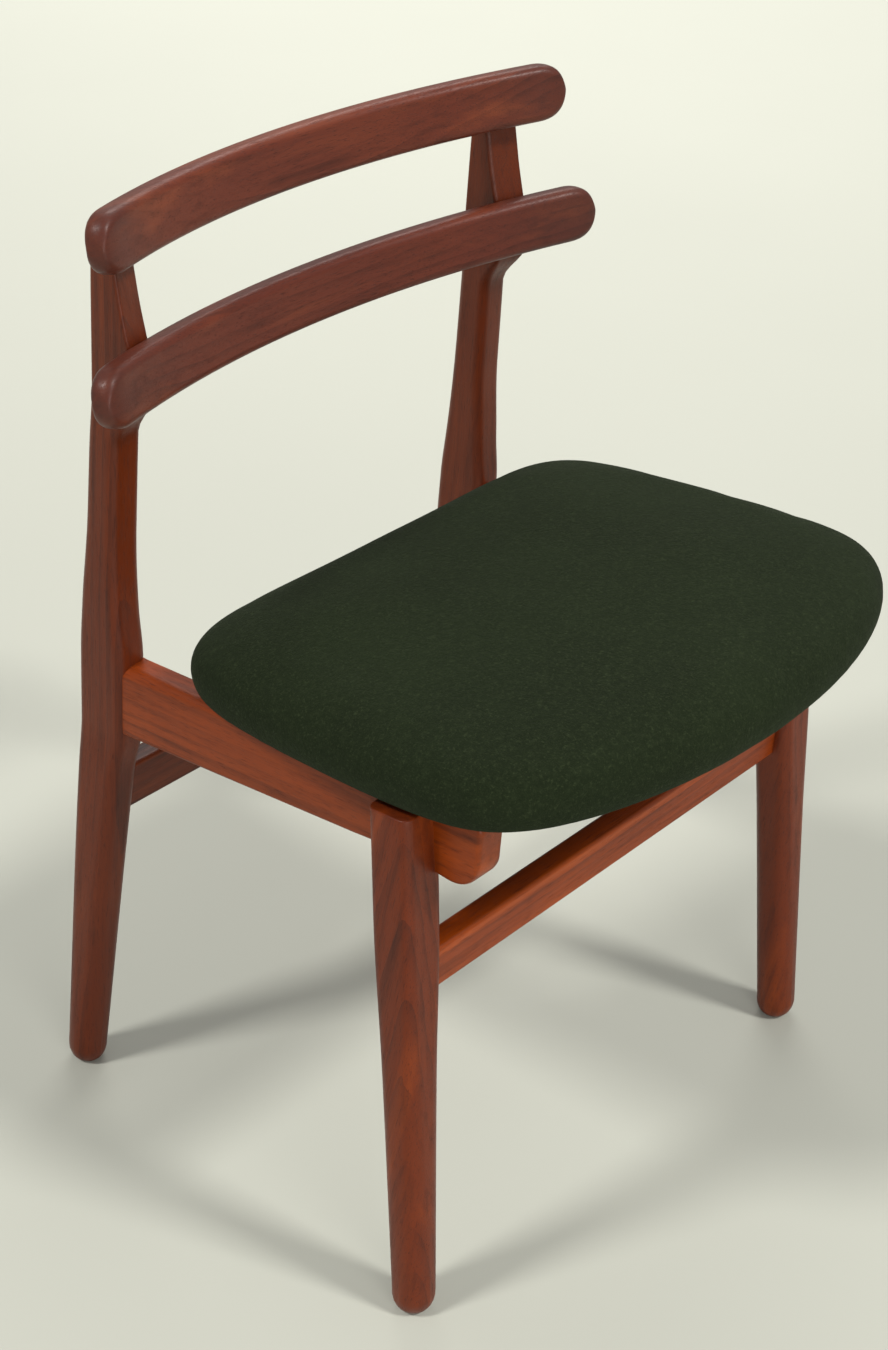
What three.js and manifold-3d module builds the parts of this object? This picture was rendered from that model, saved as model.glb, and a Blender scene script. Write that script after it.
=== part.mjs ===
// A teak dining chair with two bowed back rails and an upholstered seat.
// Units are millimetres. +Z is up, the sitter faces -Y, and +X is the sitter's left.
// The origin is on the floor, at the middle of the chair's bounding box. Until the last
// lines, y = 0 is the front face of the back posts where the side rails meet them.

import * as THREE from 'three';
import { mergeVertices } from 'three/addons/utils/BufferGeometryUtils.js';
import Module from 'manifold-3d';

// ---------------------------------------------------------------- driving dimensions

// Fits
const CLEARANCE = 0.3; // gap between any two pieces that touch
const OVERCUT = 8; // how far a cutter runs past the surface that it opens

// Side rails
const RAIL_OUTER_X = 208; // outer face, from the chair's centre plane
const RAIL_THICKNESS = 24;
const RAIL_EDGE = 3.5; // rounding along the edges
const RAIL_TOP_AT_POST = 383; // height of the top edge where it meets the post
const RAIL_DEPTH_AT_POST = 59;
const RAIL_DEPTH_AT_LEG = 49;
const RAIL_BELLY = 9; // the rail is this much deeper just behind the leg
const RAIL_RUN = 280.5; // from the post's front face to the top of the front leg's axis
const RAIL_SCRIBE = 8; // how far its shoulders reach round the post's rounded corners
const RAIL_STUB = 59.5; // how far the rail reaches in front of that axis
const STUB_CORNER = 25; // radius of the stub's lower corner
const STUB_TOP_CORNER = 7;
const SEAT_TILT = THREE.MathUtils.degToRad(8); // the seat falls towards the back

// Front legs
const LEG_TOP_SIDE = 36; // a soft square at the top
const LEG_WAIST_SIDE = 34; // half way down
const LEG_FOOT_DIAMETER = 32;
const LEG_TOP_EDGE = 8; // corner radius at the top
const LEG_WAIST_EDGE = 12;
const LEG_FOOT_SPLAY = 14; // the foot stands this far outside the top of the leg
const LEG_FOOT_RAKE = 57.5; // and this far in front of it
const LEG_HOUSING = 10; // how deep the side rail is let into the leg

// Back posts
const POST_WIDTH = 28; // across the chair, at the side rail
const POST_TOP_WIDTH = 25.5;
const POST_DEPTH = 47; // front to back, at the side rail
const POST_EDGE = 8; // rounding of the corners there
const POST_TOP_EDGE = 3;
const POST_SWELL = 40; // the post stays thick this far above and below the side rail
const POST_SWELL_FALL = 5; // and its front falls back this much over that length
const POST_WAIST_FRONT = 9; // how far the front has fallen back at the waist
const POST_WAIST_DEPTH = 30.5;
const POST_WAIST_IN = 2; // the waist stands this far inside the side rail's level
const POST_FLARE = 36; // length of the forward sweep under the lower back rail
const POST_FLARE_THINNING = 4; // its back comes forward by this much above the flare
const POST_LEAN_IN = 6; // the top stands this far inside the side rail's level
const POST_TOP_DEPTH = 12.5;
const POST_TOP_EASE = 4; // softening round its top end
const POST_FOOT_SPLAY = 27;
const POST_FOOT_BACK = 3; // the foot's axis stands this far behind the post's middle at the rail
const POST_FOOT_DIAMETER = 30.5;
const FOOT_FLAT_DIAMETER = 14; // the small flat that each foot rests on
const FOOT_ROUND_HEIGHT = 15; // height of the rounded tip

// Back rails
const BACK_LEAN = THREE.MathUtils.degToRad(11.5); // each rail is a flat arc that leans back whole
const POST_FACE_LEAN = THREE.MathUtils.degToRad(13.2); // slope of the posts' faces behind them
const BACK_FACE_SETBACK = -1; // back face of the lower rail, at the posts, at its middle height
const BACK_RAIL_THICKNESS = 20;
const BACK_RAIL_EDGE = 7;
const BACK_RAIL_END_ROUND = 25; // length of the round end of a back rail
const BACK_RAIL_END_SQUARENESS = 2.4; // exponent of its curve: 2 is an ellipse, and more is squarer
const BACK_RAIL_END_THICKNESS = 0.45; // share of the thickness left at the tip of a round end
const LOWER_RAIL_HEIGHT = 238; // its middle, above the side rails' tops at the posts
const LOWER_RAIL_DEPTH = 42.5;
const LOWER_RAIL_OVERHANG = 62.5; // how far its ends reach outside the posts' middles behind it
const LOWER_RAIL_RADIUS = 690;
const TOP_RAIL_HEIGHT = 333.5;
const TOP_RAIL_DEPTH = 42.5;
const TOP_RAIL_OVERHANG = 43;
const TOP_RAIL_RADIUS = 560;
const BACK_RAIL_LET_IN = 1; // how deep the back rails are let into the posts
const POST_TOP_UNDER_RAIL = 14; // the posts end this far under the top rail's upper edge

// Stretchers
const STRETCHER_THICKNESS = 19;
const STRETCHER_EDGE = 4;
const FRONT_STRETCHER_DROP = 120; // its top edge, under the tops of the front legs
const FRONT_STRETCHER_DEPTH = 36;
const FRONT_STRETCHER_OFFSET = 6; // its front face, in front of the legs' axes
const REAR_STRETCHER_DROP = 47; // its top edge, under the side rails
const REAR_STRETCHER_DEPTH = 39;
const REAR_STRETCHER_SETBACK = 16; // its front face, behind the posts' front faces

// Joints
const TENON_THICKNESS = 9;
const TENON_SHOULDER = 7; // the tenon is this much shorter than its piece, top and bottom
const RAIL_TENON_LENGTH = 28;
const STRETCHER_TENON_LENGTH = 16;
const DOWEL_DIAMETER = 8;
const BACK_DOWEL_IN_RAIL = 11;
const BACK_DOWEL_IN_POST = 9;
const BACK_DOWEL_SPACING = 12;
const BACK_DOWEL_DROP = 5.5; // the middle of the pair is this far below the rail's middle
const LEG_DOWEL_IN_RAIL = 15;
const LEG_DOWEL_IN_LEG = 18;
const LEG_DOWEL_SPACING = 16;
const SCREW_DIAMETER = 4.5;
const SCREW_HEAD_DIAMETER = 9;
const SCREW_HEAD_HEIGHT = 3;
const SCREW_LENGTH = 40;
const SCREW_BITE = 10; // length of thread in the seat board
const SCREW_FROM_LEG = 60; // front screw, behind the front leg's axis
const SCREW_FROM_BACK = 0.156; // rear screw, as a share of the seat board's depth from its back

// Seat
const SEAT_FRONT_OVERLAP = 17; // its front corners stand this far outside the side rails
const SEAT_BACK_OVERLAP = 7; // and its back corners this far, before the sides' bulge
const SEAT_FRONT_OVERHANG = 148.5; // from the front legs' axes to its front edge
const SEAT_SIDE_BULGE = 13;
const SEAT_FRONT_BULGE = 52.5; // how far the middle of the front edge stands in front of its corners
const SEAT_SQUARENESS = 7.5; // exponent of the outline: 2 is an ellipse, and more is squarer
const SEAT_BACK_GAP = 50; // from the post's front face to the seat's back edge
const SEAT_WIDEST_HEIGHT = 24; // the pad is widest this far above the rails
const SEAT_UNDERCUT = 17; // and this much narrower where it meets them
const SEAT_EDGE_HEIGHT = 48; // where the rolled edge turns into the top
const SEAT_EDGE_ROLL = 26; // how far inside the widest line that is
const SEAT_CROWN = 13; // how much higher the middle stands
const BOARD_THICKNESS = 12;
const BOARD_INSET = 23;
const COVER_THICKNESS = 1.6;
const COVER_TURN_IN = 28; // width of wool turned in under the board
const DUST_COVER_THICKNESS = 0.8;
const DUST_COVER_INSET = 27;

// Smoothness
const CORNER_STEPS = 3;
const BACK_RAIL_STATIONS = 18;
const TIP_ANGLE = 0.0006; // of a back rail's arc
const SEAT_OUTLINE_POINTS = 56;
const SEAT_OUTLINE_SAMPLES = 240;
const ROUND_SEGMENTS = 12;
const BEVEL_STEPS = 2;
const POST_RING_SPACING = 45;

// ---------------------------------------------------------------- places worked out from them

const SEAT_SLOPE = Math.tan(SEAT_TILT);
const RAIL_MIDDLE_X = RAIL_OUTER_X - RAIL_THICKNESS / 2;
const RAIL_BOTTOM_AT_POST = RAIL_TOP_AT_POST - RAIL_DEPTH_AT_POST;
const LEG_X = RAIL_OUTER_X - LEG_HOUSING + LEG_TOP_SIDE / 2;
const POST_X = RAIL_OUTER_X - RAIL_THICKNESS + POST_WIDTH / 2;
const POST_FOOT_Y = POST_DEPTH / 2 + POST_FOOT_BACK;
const LEG_TOP = RAIL_TOP_AT_POST + RAIL_RUN * SEAT_SLOPE;

const SEAT_FRONT_WIDTH = 2 * (RAIL_OUTER_X + SEAT_FRONT_OVERLAP);
const SEAT_BACK_WIDTH = 2 * (RAIL_OUTER_X + SEAT_BACK_OVERLAP);
const SEAT_DEPTH = RAIL_RUN + SEAT_FRONT_OVERHANG - SEAT_BACK_GAP;
const SCREW_Y = {
  front: -RAIL_RUN + SCREW_FROM_LEG,
  rear: -SEAT_BACK_GAP - BOARD_INSET - SCREW_FROM_BACK * (SEAT_DEPTH - 2 * BOARD_INSET),
};

// Back rails and stretchers, with heights above the floor
const BACK_POST_X = POST_X - POST_LEAN_IN;
const LOWER_RAIL = {
  height: RAIL_TOP_AT_POST + LOWER_RAIL_HEIGHT,
  depth: LOWER_RAIL_DEPTH,
  halfLength: BACK_POST_X + LOWER_RAIL_OVERHANG,
  radius: LOWER_RAIL_RADIUS,
};
const TOP_RAIL = {
  height: RAIL_TOP_AT_POST + TOP_RAIL_HEIGHT,
  depth: TOP_RAIL_DEPTH,
  halfLength: BACK_POST_X + TOP_RAIL_OVERHANG,
  radius: TOP_RAIL_RADIUS,
};
const FRONT_STRETCHER = {
  bottom: LEG_TOP - FRONT_STRETCHER_DROP - FRONT_STRETCHER_DEPTH,
  depth: FRONT_STRETCHER_DEPTH,
};
const REAR_STRETCHER = {
  bottom: RAIL_BOTTOM_AT_POST - REAR_STRETCHER_DROP - REAR_STRETCHER_DEPTH,
  depth: REAR_STRETCHER_DEPTH,
};

// Heights above the seat plane of the layers under the pad
const DUST_COVER_TOP = CLEARANCE + DUST_COVER_THICKNESS;
const COVER_BOTTOM = DUST_COVER_TOP + CLEARANCE;
const BOARD_BOTTOM = COVER_BOTTOM + COVER_THICKNESS + CLEARANCE;
const BOARD_TOP = BOARD_BOTTOM + BOARD_THICKNESS;

// Height of the tops of the side rails and front legs, on which the seat lies.
function seatPlane(y) {
  return RAIL_TOP_AT_POST - y * SEAT_SLOPE;
}

// ---------------------------------------------------------------- materials

function wood(color, roughness) {
  return new THREE.MeshStandardMaterial({ color, roughness, metalness: 0 });
}

const postTeak = wood(0x5e2c1c, 0.45);
const backTeak = wood(0x6a3222, 0.45);
const railTeak = wood(0x8c4a1f, 0.42);
const beech = wood(0xc9a474, 0.6);
const plywood = wood(0xb98d5c, 0.7);
const wool = new THREE.MeshStandardMaterial({ color: 0x1f2b1a, roughness: 0.95, metalness: 0 });
const foamRubber = new THREE.MeshStandardMaterial({ color: 0xd9cfa6, roughness: 0.9, metalness: 0 });
const cambric = new THREE.MeshStandardMaterial({ color: 0x1a1a1a, roughness: 0.95, metalness: 0 });
const steel = new THREE.MeshStandardMaterial({ color: 0xb9b6ae, roughness: 0.35, metalness: 1 });

// ---------------------------------------------------------------- solids: joining and cutting

const wasm = await Module();
wasm.setup();

function toSolid(geometry) {
  const plain = geometry.clone();
  plain.deleteAttribute('normal');
  plain.deleteAttribute('uv');
  const merged = mergeVertices(plain, 1e-4);
  return new wasm.Manifold(
    new wasm.Mesh({
      numProp: 3,
      vertProperties: new Float32Array(merged.attributes.position.array),
      triVerts: new Uint32Array(merged.index.array),
    }),
  );
}

function toGeometry(solid) {
  const { vertProperties, triVerts } = solid.getMesh();
  const geometry = new THREE.BufferGeometry();
  geometry.setAttribute('position', new THREE.BufferAttribute(vertProperties, 3));
  geometry.setIndex(new THREE.BufferAttribute(triVerts, 1));
  geometry.computeVertexNormals();
  return geometry;
}

// The same geometry on the other side of the chair's centre plane.
function mirrored(geometry) {
  const copy = geometry.clone().scale(-1, 1, 1);
  const index = copy.index.array;
  for (let i = 0; i < index.length; i += 3) {
    [index[i + 1], index[i + 2]] = [index[i + 2], index[i + 1]];
  }
  copy.computeVertexNormals();
  return copy;
}

function box(low, high) {
  const size = new THREE.Vector3().subVectors(high, low);
  const middle = new THREE.Vector3().addVectors(low, high).multiplyScalar(0.5);
  const geometry = new THREE.BoxGeometry(size.x, size.y, size.z);
  return toSolid(geometry.translate(middle.x, middle.y, middle.z));
}

// A round bar from one point to another.
function bar(from, to, diameter) {
  const axis = new THREE.Vector3().subVectors(to, from);
  const geometry = new THREE.CylinderGeometry(diameter / 2, diameter / 2, axis.length(), ROUND_SEGMENTS);
  const turn = new THREE.Quaternion().setFromUnitVectors(
    new THREE.Vector3(0, 1, 0),
    axis.clone().normalize(),
  );
  const middle = new THREE.Vector3().addVectors(from, to).multiplyScalar(0.5);
  geometry.applyQuaternion(turn).translate(middle.x, middle.y, middle.z);
  return geometry;
}

// A closed skin through rings that all have the same number of points. Seen from the last
// ring, each ring runs anticlockwise.
function loft(rings) {
  const count = rings[0].length;
  const positions = [];
  const index = [];
  const addPoint = (point) => positions.push(point.x, point.y, point.z);
  rings.forEach((ring) => ring.forEach(addPoint));
  for (let r = 0; r + 1 < rings.length; r++) {
    for (let i = 0; i < count; i++) {
      const near = r * count + i;
      const next = r * count + ((i + 1) % count);
      index.push(near, next, next + count, near, next + count, near + count);
    }
  }
  const middleOf = (ring) => {
    const sum = new THREE.Vector3();
    ring.forEach((point) => sum.add(point));
    return sum.divideScalar(count);
  };
  const first = rings.length * count;
  const last = first + 1;
  const lastRing = (rings.length - 1) * count;
  addPoint(middleOf(rings[0]));
  addPoint(middleOf(rings[rings.length - 1]));
  for (let i = 0; i < count; i++) {
    const next = (i + 1) % count;
    index.push(first, next, i, last, lastRing + i, lastRing + next);
  }
  const geometry = new THREE.BufferGeometry();
  geometry.setAttribute('position', new THREE.Float32BufferAttribute(positions, 3));
  geometry.setIndex(index);
  return toSolid(geometry);
}

// Points of a rectangle with rounded corners, centred on the origin.
function roundedRectangle(halfWidth, halfDepth, radius) {
  const r = Math.min(radius, halfWidth - 0.01, halfDepth - 0.01);
  const shape = new THREE.Shape();
  shape.absarc(halfWidth - r, halfDepth - r, r, 0, Math.PI / 2);
  shape.absarc(-halfWidth + r, halfDepth - r, r, Math.PI / 2, Math.PI);
  shape.absarc(-halfWidth + r, -halfDepth + r, r, Math.PI, 1.5 * Math.PI);
  shape.absarc(halfWidth - r, -halfDepth + r, r, 1.5 * Math.PI, 2 * Math.PI);
  return shape.getPoints(CORNER_STEPS);
}

// A smooth curve through stations, which never overshoots between two of them. It returns
// the values of all the stations' keys at the height z.
function throughStations(stations, z) {
  const keys = Object.keys(stations[0]).filter((key) => key !== 'z');
  let i = 0;
  while (i + 2 < stations.length && z > stations[i + 1].z) i += 1;
  const [low, high] = [stations[i], stations[i + 1]];
  const rise = high.z - low.z;
  const t = Math.min(Math.max((z - low.z) / rise, 0), 1);
  const slope = (a, b, key) => (b[key] - a[key]) / (b.z - a.z);
  const tangent = (k, key) => {
    const before = stations[k - 1];
    const after = stations[k + 1];
    if (!before) return slope(stations[k], after, key);
    if (!after) return slope(before, stations[k], key);
    const [m, n] = [slope(before, stations[k], key), slope(stations[k], after, key)];
    return m * n <= 0 ? 0 : (2 * m * n) / (m + n);
  };
  const values = {};
  for (const key of keys) {
    const [m, n] = [tangent(i, key) * rise, tangent(i + 1, key) * rise];
    const [a, b] = [low[key], high[key]];
    values[key] = a + m * t + (3 * (b - a) - 2 * m - n) * t * t + (m + n - 2 * (b - a)) * t * t * t;
  }
  return values;
}

// The station part of the way from one station to another.
function between(from, to, share) {
  const values = {};
  for (const key of Object.keys(from)) {
    values[key] = THREE.MathUtils.lerp(from[key], to[key], share);
  }
  return values;
}

// ---------------------------------------------------------------- legs and posts

// Rings of the rounded tip that every foot ends in, from the floor up to its full section.
function footRings(axisX, axisY, diameter, grow) {
  const rings = [];
  const steps = 4;
  const flat = FOOT_FLAT_DIAMETER / diameter;
  for (let i = 0; i < steps; i++) {
    const rise = i / steps;
    const spread = flat + (1 - flat) * Math.sqrt(1 - (1 - rise) ** 2);
    const half = (diameter / 2) * spread + grow;
    rings.push({ z: FOOT_ROUND_HEIGHT * rise, half, axisX, axisY });
  }
  return rings.map((ring) =>
    roundedRectangle(ring.half, ring.half, ring.half).map(
      (p) => new THREE.Vector3(axisX + p.x, axisY + p.y, ring.z),
    ),
  );
}

// The front leg's axis runs straight from the foot to the seat plane.
function legAxis(z) {
  const fromTop = 1 - z / seatPlane(-RAIL_RUN);
  return { x: LEG_X + LEG_FOOT_SPLAY * fromTop, y: -RAIL_RUN - LEG_FOOT_RAKE * fromTop };
}

function legBlank(grow = 0) {
  const top = seatPlane(-RAIL_RUN);
  const stations = [
    { z: FOOT_ROUND_HEIGHT, side: LEG_FOOT_DIAMETER, edge: LEG_FOOT_DIAMETER / 2 },
    { z: top / 2, side: LEG_WAIST_SIDE, edge: LEG_WAIST_EDGE },
    { z: top * 0.8, side: LEG_TOP_SIDE, edge: LEG_TOP_EDGE },
    { z: top, side: LEG_TOP_SIDE, edge: LEG_TOP_EDGE },
  ];
  const foot = legAxis(0);
  const rings = footRings(foot.x, foot.y, LEG_FOOT_DIAMETER, grow);
  const heights = 9;
  for (let i = 0; i <= heights; i++) {
    const z = FOOT_ROUND_HEIGHT + ((top - FOOT_ROUND_HEIGHT) * i) / heights;
    const { side, edge } = throughStations(stations, z);
    const axis = legAxis(z);
    const half = side / 2 + grow;
    const section = roundedRectangle(half, half, edge + grow);
    const lift = (y) => (i === heights ? seatPlane(y) : z);
    rings.push(section.map((p) => new THREE.Vector3(axis.x + p.x, axis.y + p.y, lift(axis.y + p.y))));
  }
  return loft(rings);
}

// Front of the post where the back rails lie against it.
function backFace(z) {
  return BACK_FACE_SETBACK + (z - LOWER_RAIL.height) * Math.tan(POST_FACE_LEAN);
}

// The angle at which a back rail's curve crosses the post.
function crossingAngle(rail) {
  return Math.asin(BACK_POST_X / (rail.radius + BACK_RAIL_THICKNESS / 2));
}

// A post is round at the foot, deepest at the side rail, drawn in above it, and comes
// forward again under the lower back rail. From there up its front is a flat face turned to
// follow the curve of the back rails, which are let into it a little.
function postStations() {
  const lowerBottom = LOWER_RAIL.height - (LOWER_RAIL.depth / 2) * Math.cos(BACK_LEAN);
  const railTop = TOP_RAIL.height + (TOP_RAIL.depth / 2) * Math.cos(BACK_LEAN);
  const topOfPost = railTop - POST_TOP_UNDER_RAIL;
  const betweenRails = (LOWER_RAIL.height + TOP_RAIL.height) / 2;
  const waist = (RAIL_TOP_AT_POST + lowerBottom) / 2;
  const waistBack = POST_WAIST_FRONT + POST_WAIST_DEPTH;
  const topBack = backFace(topOfPost) - BACK_RAIL_LET_IN + POST_TOP_DEPTH;
  const flareBack = waistBack - POST_FLARE_THINNING;
  const footRound = POST_FOOT_DIAMETER / 2;
  const foot = {
    z: FOOT_ROUND_HEIGHT,
    x: POST_X + POST_FOOT_SPLAY,
    front: POST_FOOT_Y - footRound,
    back: POST_FOOT_Y + footRound,
    width: POST_FOOT_DIAMETER,
    edge: footRound,
    turn: 0,
  };
  const atRail = {
    z: RAIL_BOTTOM_AT_POST,
    x: POST_X,
    front: 0,
    back: POST_DEPTH,
    width: POST_WIDTH,
    edge: POST_EDGE,
    turn: 0,
  };
  const atWaist = {
    ...atRail,
    z: waist,
    x: POST_X - POST_WAIST_IN,
    front: POST_WAIST_FRONT,
    back: waistBack,
  };
  const behindRail = (z, rail, back) => ({
    z,
    x: BACK_POST_X,
    front: backFace(z) - BACK_RAIL_LET_IN,
    back,
    width: POST_TOP_WIDTH,
    edge: POST_TOP_EDGE,
    turn: Math.tan(crossingAngle(rail)),
  });
  return [
    foot,
    {
      ...between(atRail, foot, POST_SWELL / (atRail.z - foot.z)),
      front: POST_SWELL_FALL,
      back: POST_DEPTH,
    },
    atRail,
    { ...atRail, z: RAIL_TOP_AT_POST },
    {
      ...atRail,
      z: RAIL_TOP_AT_POST + POST_SWELL,
      front: POST_SWELL_FALL,
      back: waistBack + POST_SWELL_FALL,
    },
    atWaist,
    {
      ...atWaist,
      z: lowerBottom - POST_FLARE,
      x: (atWaist.x + BACK_POST_X) / 2,
      back: (waistBack + flareBack) / 2,
    },
    behindRail(lowerBottom, LOWER_RAIL, flareBack),
    behindRail(betweenRails, TOP_RAIL, flareBack),
    behindRail(topOfPost, TOP_RAIL, topBack),
  ];
}

function postBlank(grow = 0) {
  const stations = postStations();
  const foot = stations[0];
  const rings = footRings(foot.x, POST_FOOT_Y, POST_FOOT_DIAMETER, grow);
  const heights = [];
  stations.slice(1).forEach((station, i) => {
    const below = stations[i];
    const steps = Math.max(1, Math.round((station.z - below.z) / POST_RING_SPACING));
    for (let k = 0; k < steps; k++) heights.push(below.z + ((station.z - below.z) * k) / steps);
  });
  const top = stations[stations.length - 1].z;
  const easing = [
    { z: top - POST_TOP_EASE, inset: 0 },
    { z: top - POST_TOP_EASE / 3, inset: POST_TOP_EASE / 3 },
    { z: top, inset: POST_TOP_EASE },
  ];
  const levels = [...heights.map((z) => ({ z, inset: 0 })), ...easing];
  for (const { z, inset } of levels) {
    const at = throughStations(stations, z);
    const halfWidth = at.width / 2 + grow - inset;
    const halfDepth = (at.back - at.front) / 2 + grow - inset;
    const middle = (at.back + at.front) / 2;
    const section = roundedRectangle(halfWidth, halfDepth, at.edge + grow);
    rings.push(
      section.map((p) => {
        const frontShare = (halfDepth - p.y) / (2 * halfDepth);
        return new THREE.Vector3(at.x + p.x, middle + p.y - p.x * at.turn * frontShare, z);
      }),
    );
  }
  return loft(rings);
}

// ---------------------------------------------------------------- side rails

function railProfile() {
  const stubEnd = -RAIL_RUN - RAIL_STUB;
  const legBottom = seatPlane(-RAIL_RUN) - RAIL_DEPTH_AT_LEG;
  const shape = new THREE.Shape();
  shape.moveTo(RAIL_SCRIBE, RAIL_BOTTOM_AT_POST);
  shape.lineTo(RAIL_SCRIBE, RAIL_TOP_AT_POST);
  shape.lineTo(0, RAIL_TOP_AT_POST);
  shape.lineTo(stubEnd + STUB_TOP_CORNER, seatPlane(stubEnd + STUB_TOP_CORNER));
  shape.quadraticCurveTo(stubEnd, seatPlane(stubEnd), stubEnd, seatPlane(stubEnd) - STUB_TOP_CORNER);
  shape.lineTo(stubEnd, legBottom + STUB_CORNER);
  shape.absarc(stubEnd + STUB_CORNER, legBottom + STUB_CORNER, STUB_CORNER, Math.PI, 1.5 * Math.PI);
  shape.quadraticCurveTo(-RAIL_RUN, legBottom, -RAIL_RUN + 2 * STUB_CORNER, legBottom - RAIL_BELLY);
  shape.lineTo(0, RAIL_BOTTOM_AT_POST);
  shape.lineTo(RAIL_SCRIBE, RAIL_BOTTOM_AT_POST);
  return shape;
}

// A profile drawn in (y, z), given a thickness across the chair and rounded edges.
function across(shape, low, high, edge, grow = 0) {
  const geometry = new THREE.ExtrudeGeometry(shape, {
    depth: high - low - 2 * edge,
    bevelEnabled: true,
    bevelThickness: edge + grow,
    bevelSize: edge,
    bevelOffset: grow - edge,
    bevelSegments: BEVEL_STEPS,
    curveSegments: 6,
  });
  const turn = new THREE.Matrix4().makeBasis(
    new THREE.Vector3(0, 1, 0),
    new THREE.Vector3(0, 0, 1),
    new THREE.Vector3(1, 0, 0),
  );
  geometry.applyMatrix4(turn).translate(low + edge, 0, 0);
  return toSolid(geometry);
}

function railBlank(grow = 0) {
  return across(railProfile(), RAIL_OUTER_X - RAIL_THICKNESS, RAIL_OUTER_X, RAIL_EDGE, grow);
}

// The tenon at the back end of a side rail, or the mortise for it when grown.
function railTenon(grow = 0) {
  const half = TENON_THICKNESS / 2 + grow;
  const low = RAIL_BOTTOM_AT_POST + TENON_SHOULDER - grow;
  const high = RAIL_TOP_AT_POST - TENON_SHOULDER + grow;
  return box(
    new THREE.Vector3(RAIL_MIDDLE_X - half, -OVERCUT, low),
    new THREE.Vector3(RAIL_MIDDLE_X + half, RAIL_TENON_LENGTH + grow, high),
  );
}

// ---------------------------------------------------------------- stretchers

// A stretcher's body runs across the whole chair, and is then cut to fit between its legs.
function stretcherBody(front, bottom, depth, reach) {
  const shape = new THREE.Shape();
  shape.moveTo(front, bottom);
  shape.lineTo(front + STRETCHER_THICKNESS, bottom);
  shape.lineTo(front + STRETCHER_THICKNESS, bottom + depth - STRETCHER_EDGE);
  shape.quadraticCurveTo(
    front + STRETCHER_THICKNESS,
    bottom + depth,
    front + STRETCHER_THICKNESS - STRETCHER_EDGE,
    bottom + depth,
  );
  shape.lineTo(front + STRETCHER_EDGE, bottom + depth);
  shape.quadraticCurveTo(front, bottom + depth, front, bottom + depth - STRETCHER_EDGE);
  shape.lineTo(front, bottom);
  return across(shape, -reach, reach, 1);
}

// A tenon on a stretcher's left end, or the mortise for it when grown.
function stretcherTenon(front, bottom, depth, inner, grow = 0) {
  const middle = front + STRETCHER_THICKNESS / 2;
  const half = TENON_THICKNESS / 2 + grow;
  const low = bottom + TENON_SHOULDER - grow;
  const high = bottom + depth - TENON_SHOULDER + grow;
  return box(
    new THREE.Vector3(inner - OVERCUT, middle - half, low),
    new THREE.Vector3(inner + STRETCHER_TENON_LENGTH + grow, middle + half, high),
  );
}

// The place of each stretcher, with the inner face of the leg that it meets.
function frontStretcherPlace() {
  const middle = FRONT_STRETCHER.bottom + FRONT_STRETCHER.depth / 2;
  const axis = legAxis(middle);
  return {
    ...FRONT_STRETCHER,
    front: axis.y - FRONT_STRETCHER_OFFSET,
    inner: axis.x - LEG_WAIST_SIDE / 2,
    axisX: axis.x,
  };
}

function rearStretcherPlace() {
  const middle = REAR_STRETCHER.bottom + REAR_STRETCHER.depth / 2;
  const at = throughStations(postStations(), middle);
  return {
    ...REAR_STRETCHER,
    front: REAR_STRETCHER_SETBACK,
    inner: at.x - at.width / 2,
    axisX: at.x,
  };
}

function placeTenon(place, grow = 0) {
  return stretcherTenon(place.front, place.bottom, place.depth, place.inner, grow);
}

function stretcher(place, legGrown) {
  const body = stretcherBody(place.front, place.bottom, place.depth, place.axisX);
  const rightLeg = toSolid(mirrored(toGeometry(legGrown)));
  const rightTenon = toSolid(mirrored(toGeometry(placeTenon(place))));
  return body.subtract(legGrown).subtract(rightLeg).add(placeTenon(place)).add(rightTenon);
}

// ---------------------------------------------------------------- back rails

// The frame of a back rail's section at an angle round its arc. The arc lies in a plane that
// leans back, so that its middle is a little behind and below its ends.
function railFrame(rail, angle) {
  const crossing = crossingAngle(rail);
  const leanSine = Math.sin(BACK_LEAN);
  const leanCosine = Math.cos(BACK_LEAN);
  const outward = (a) =>
    new THREE.Vector3(Math.sin(a), Math.cos(a) * leanCosine, -Math.cos(a) * leanSine);
  const toPost = outward(crossing);
  const atPost = new THREE.Vector3(
    rail.radius * toPost.x,
    backFace(rail.height) - (BACK_RAIL_THICKNESS / 2) * toPost.y,
    rail.height,
  );
  const arcCentre = atPost.addScaledVector(toPost, -rail.radius);
  return {
    centre: arcCentre.addScaledVector(outward(angle), rail.radius),
    back: outward(angle),
    up: new THREE.Vector3(0, leanSine, leanCosine),
  };
}

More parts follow.
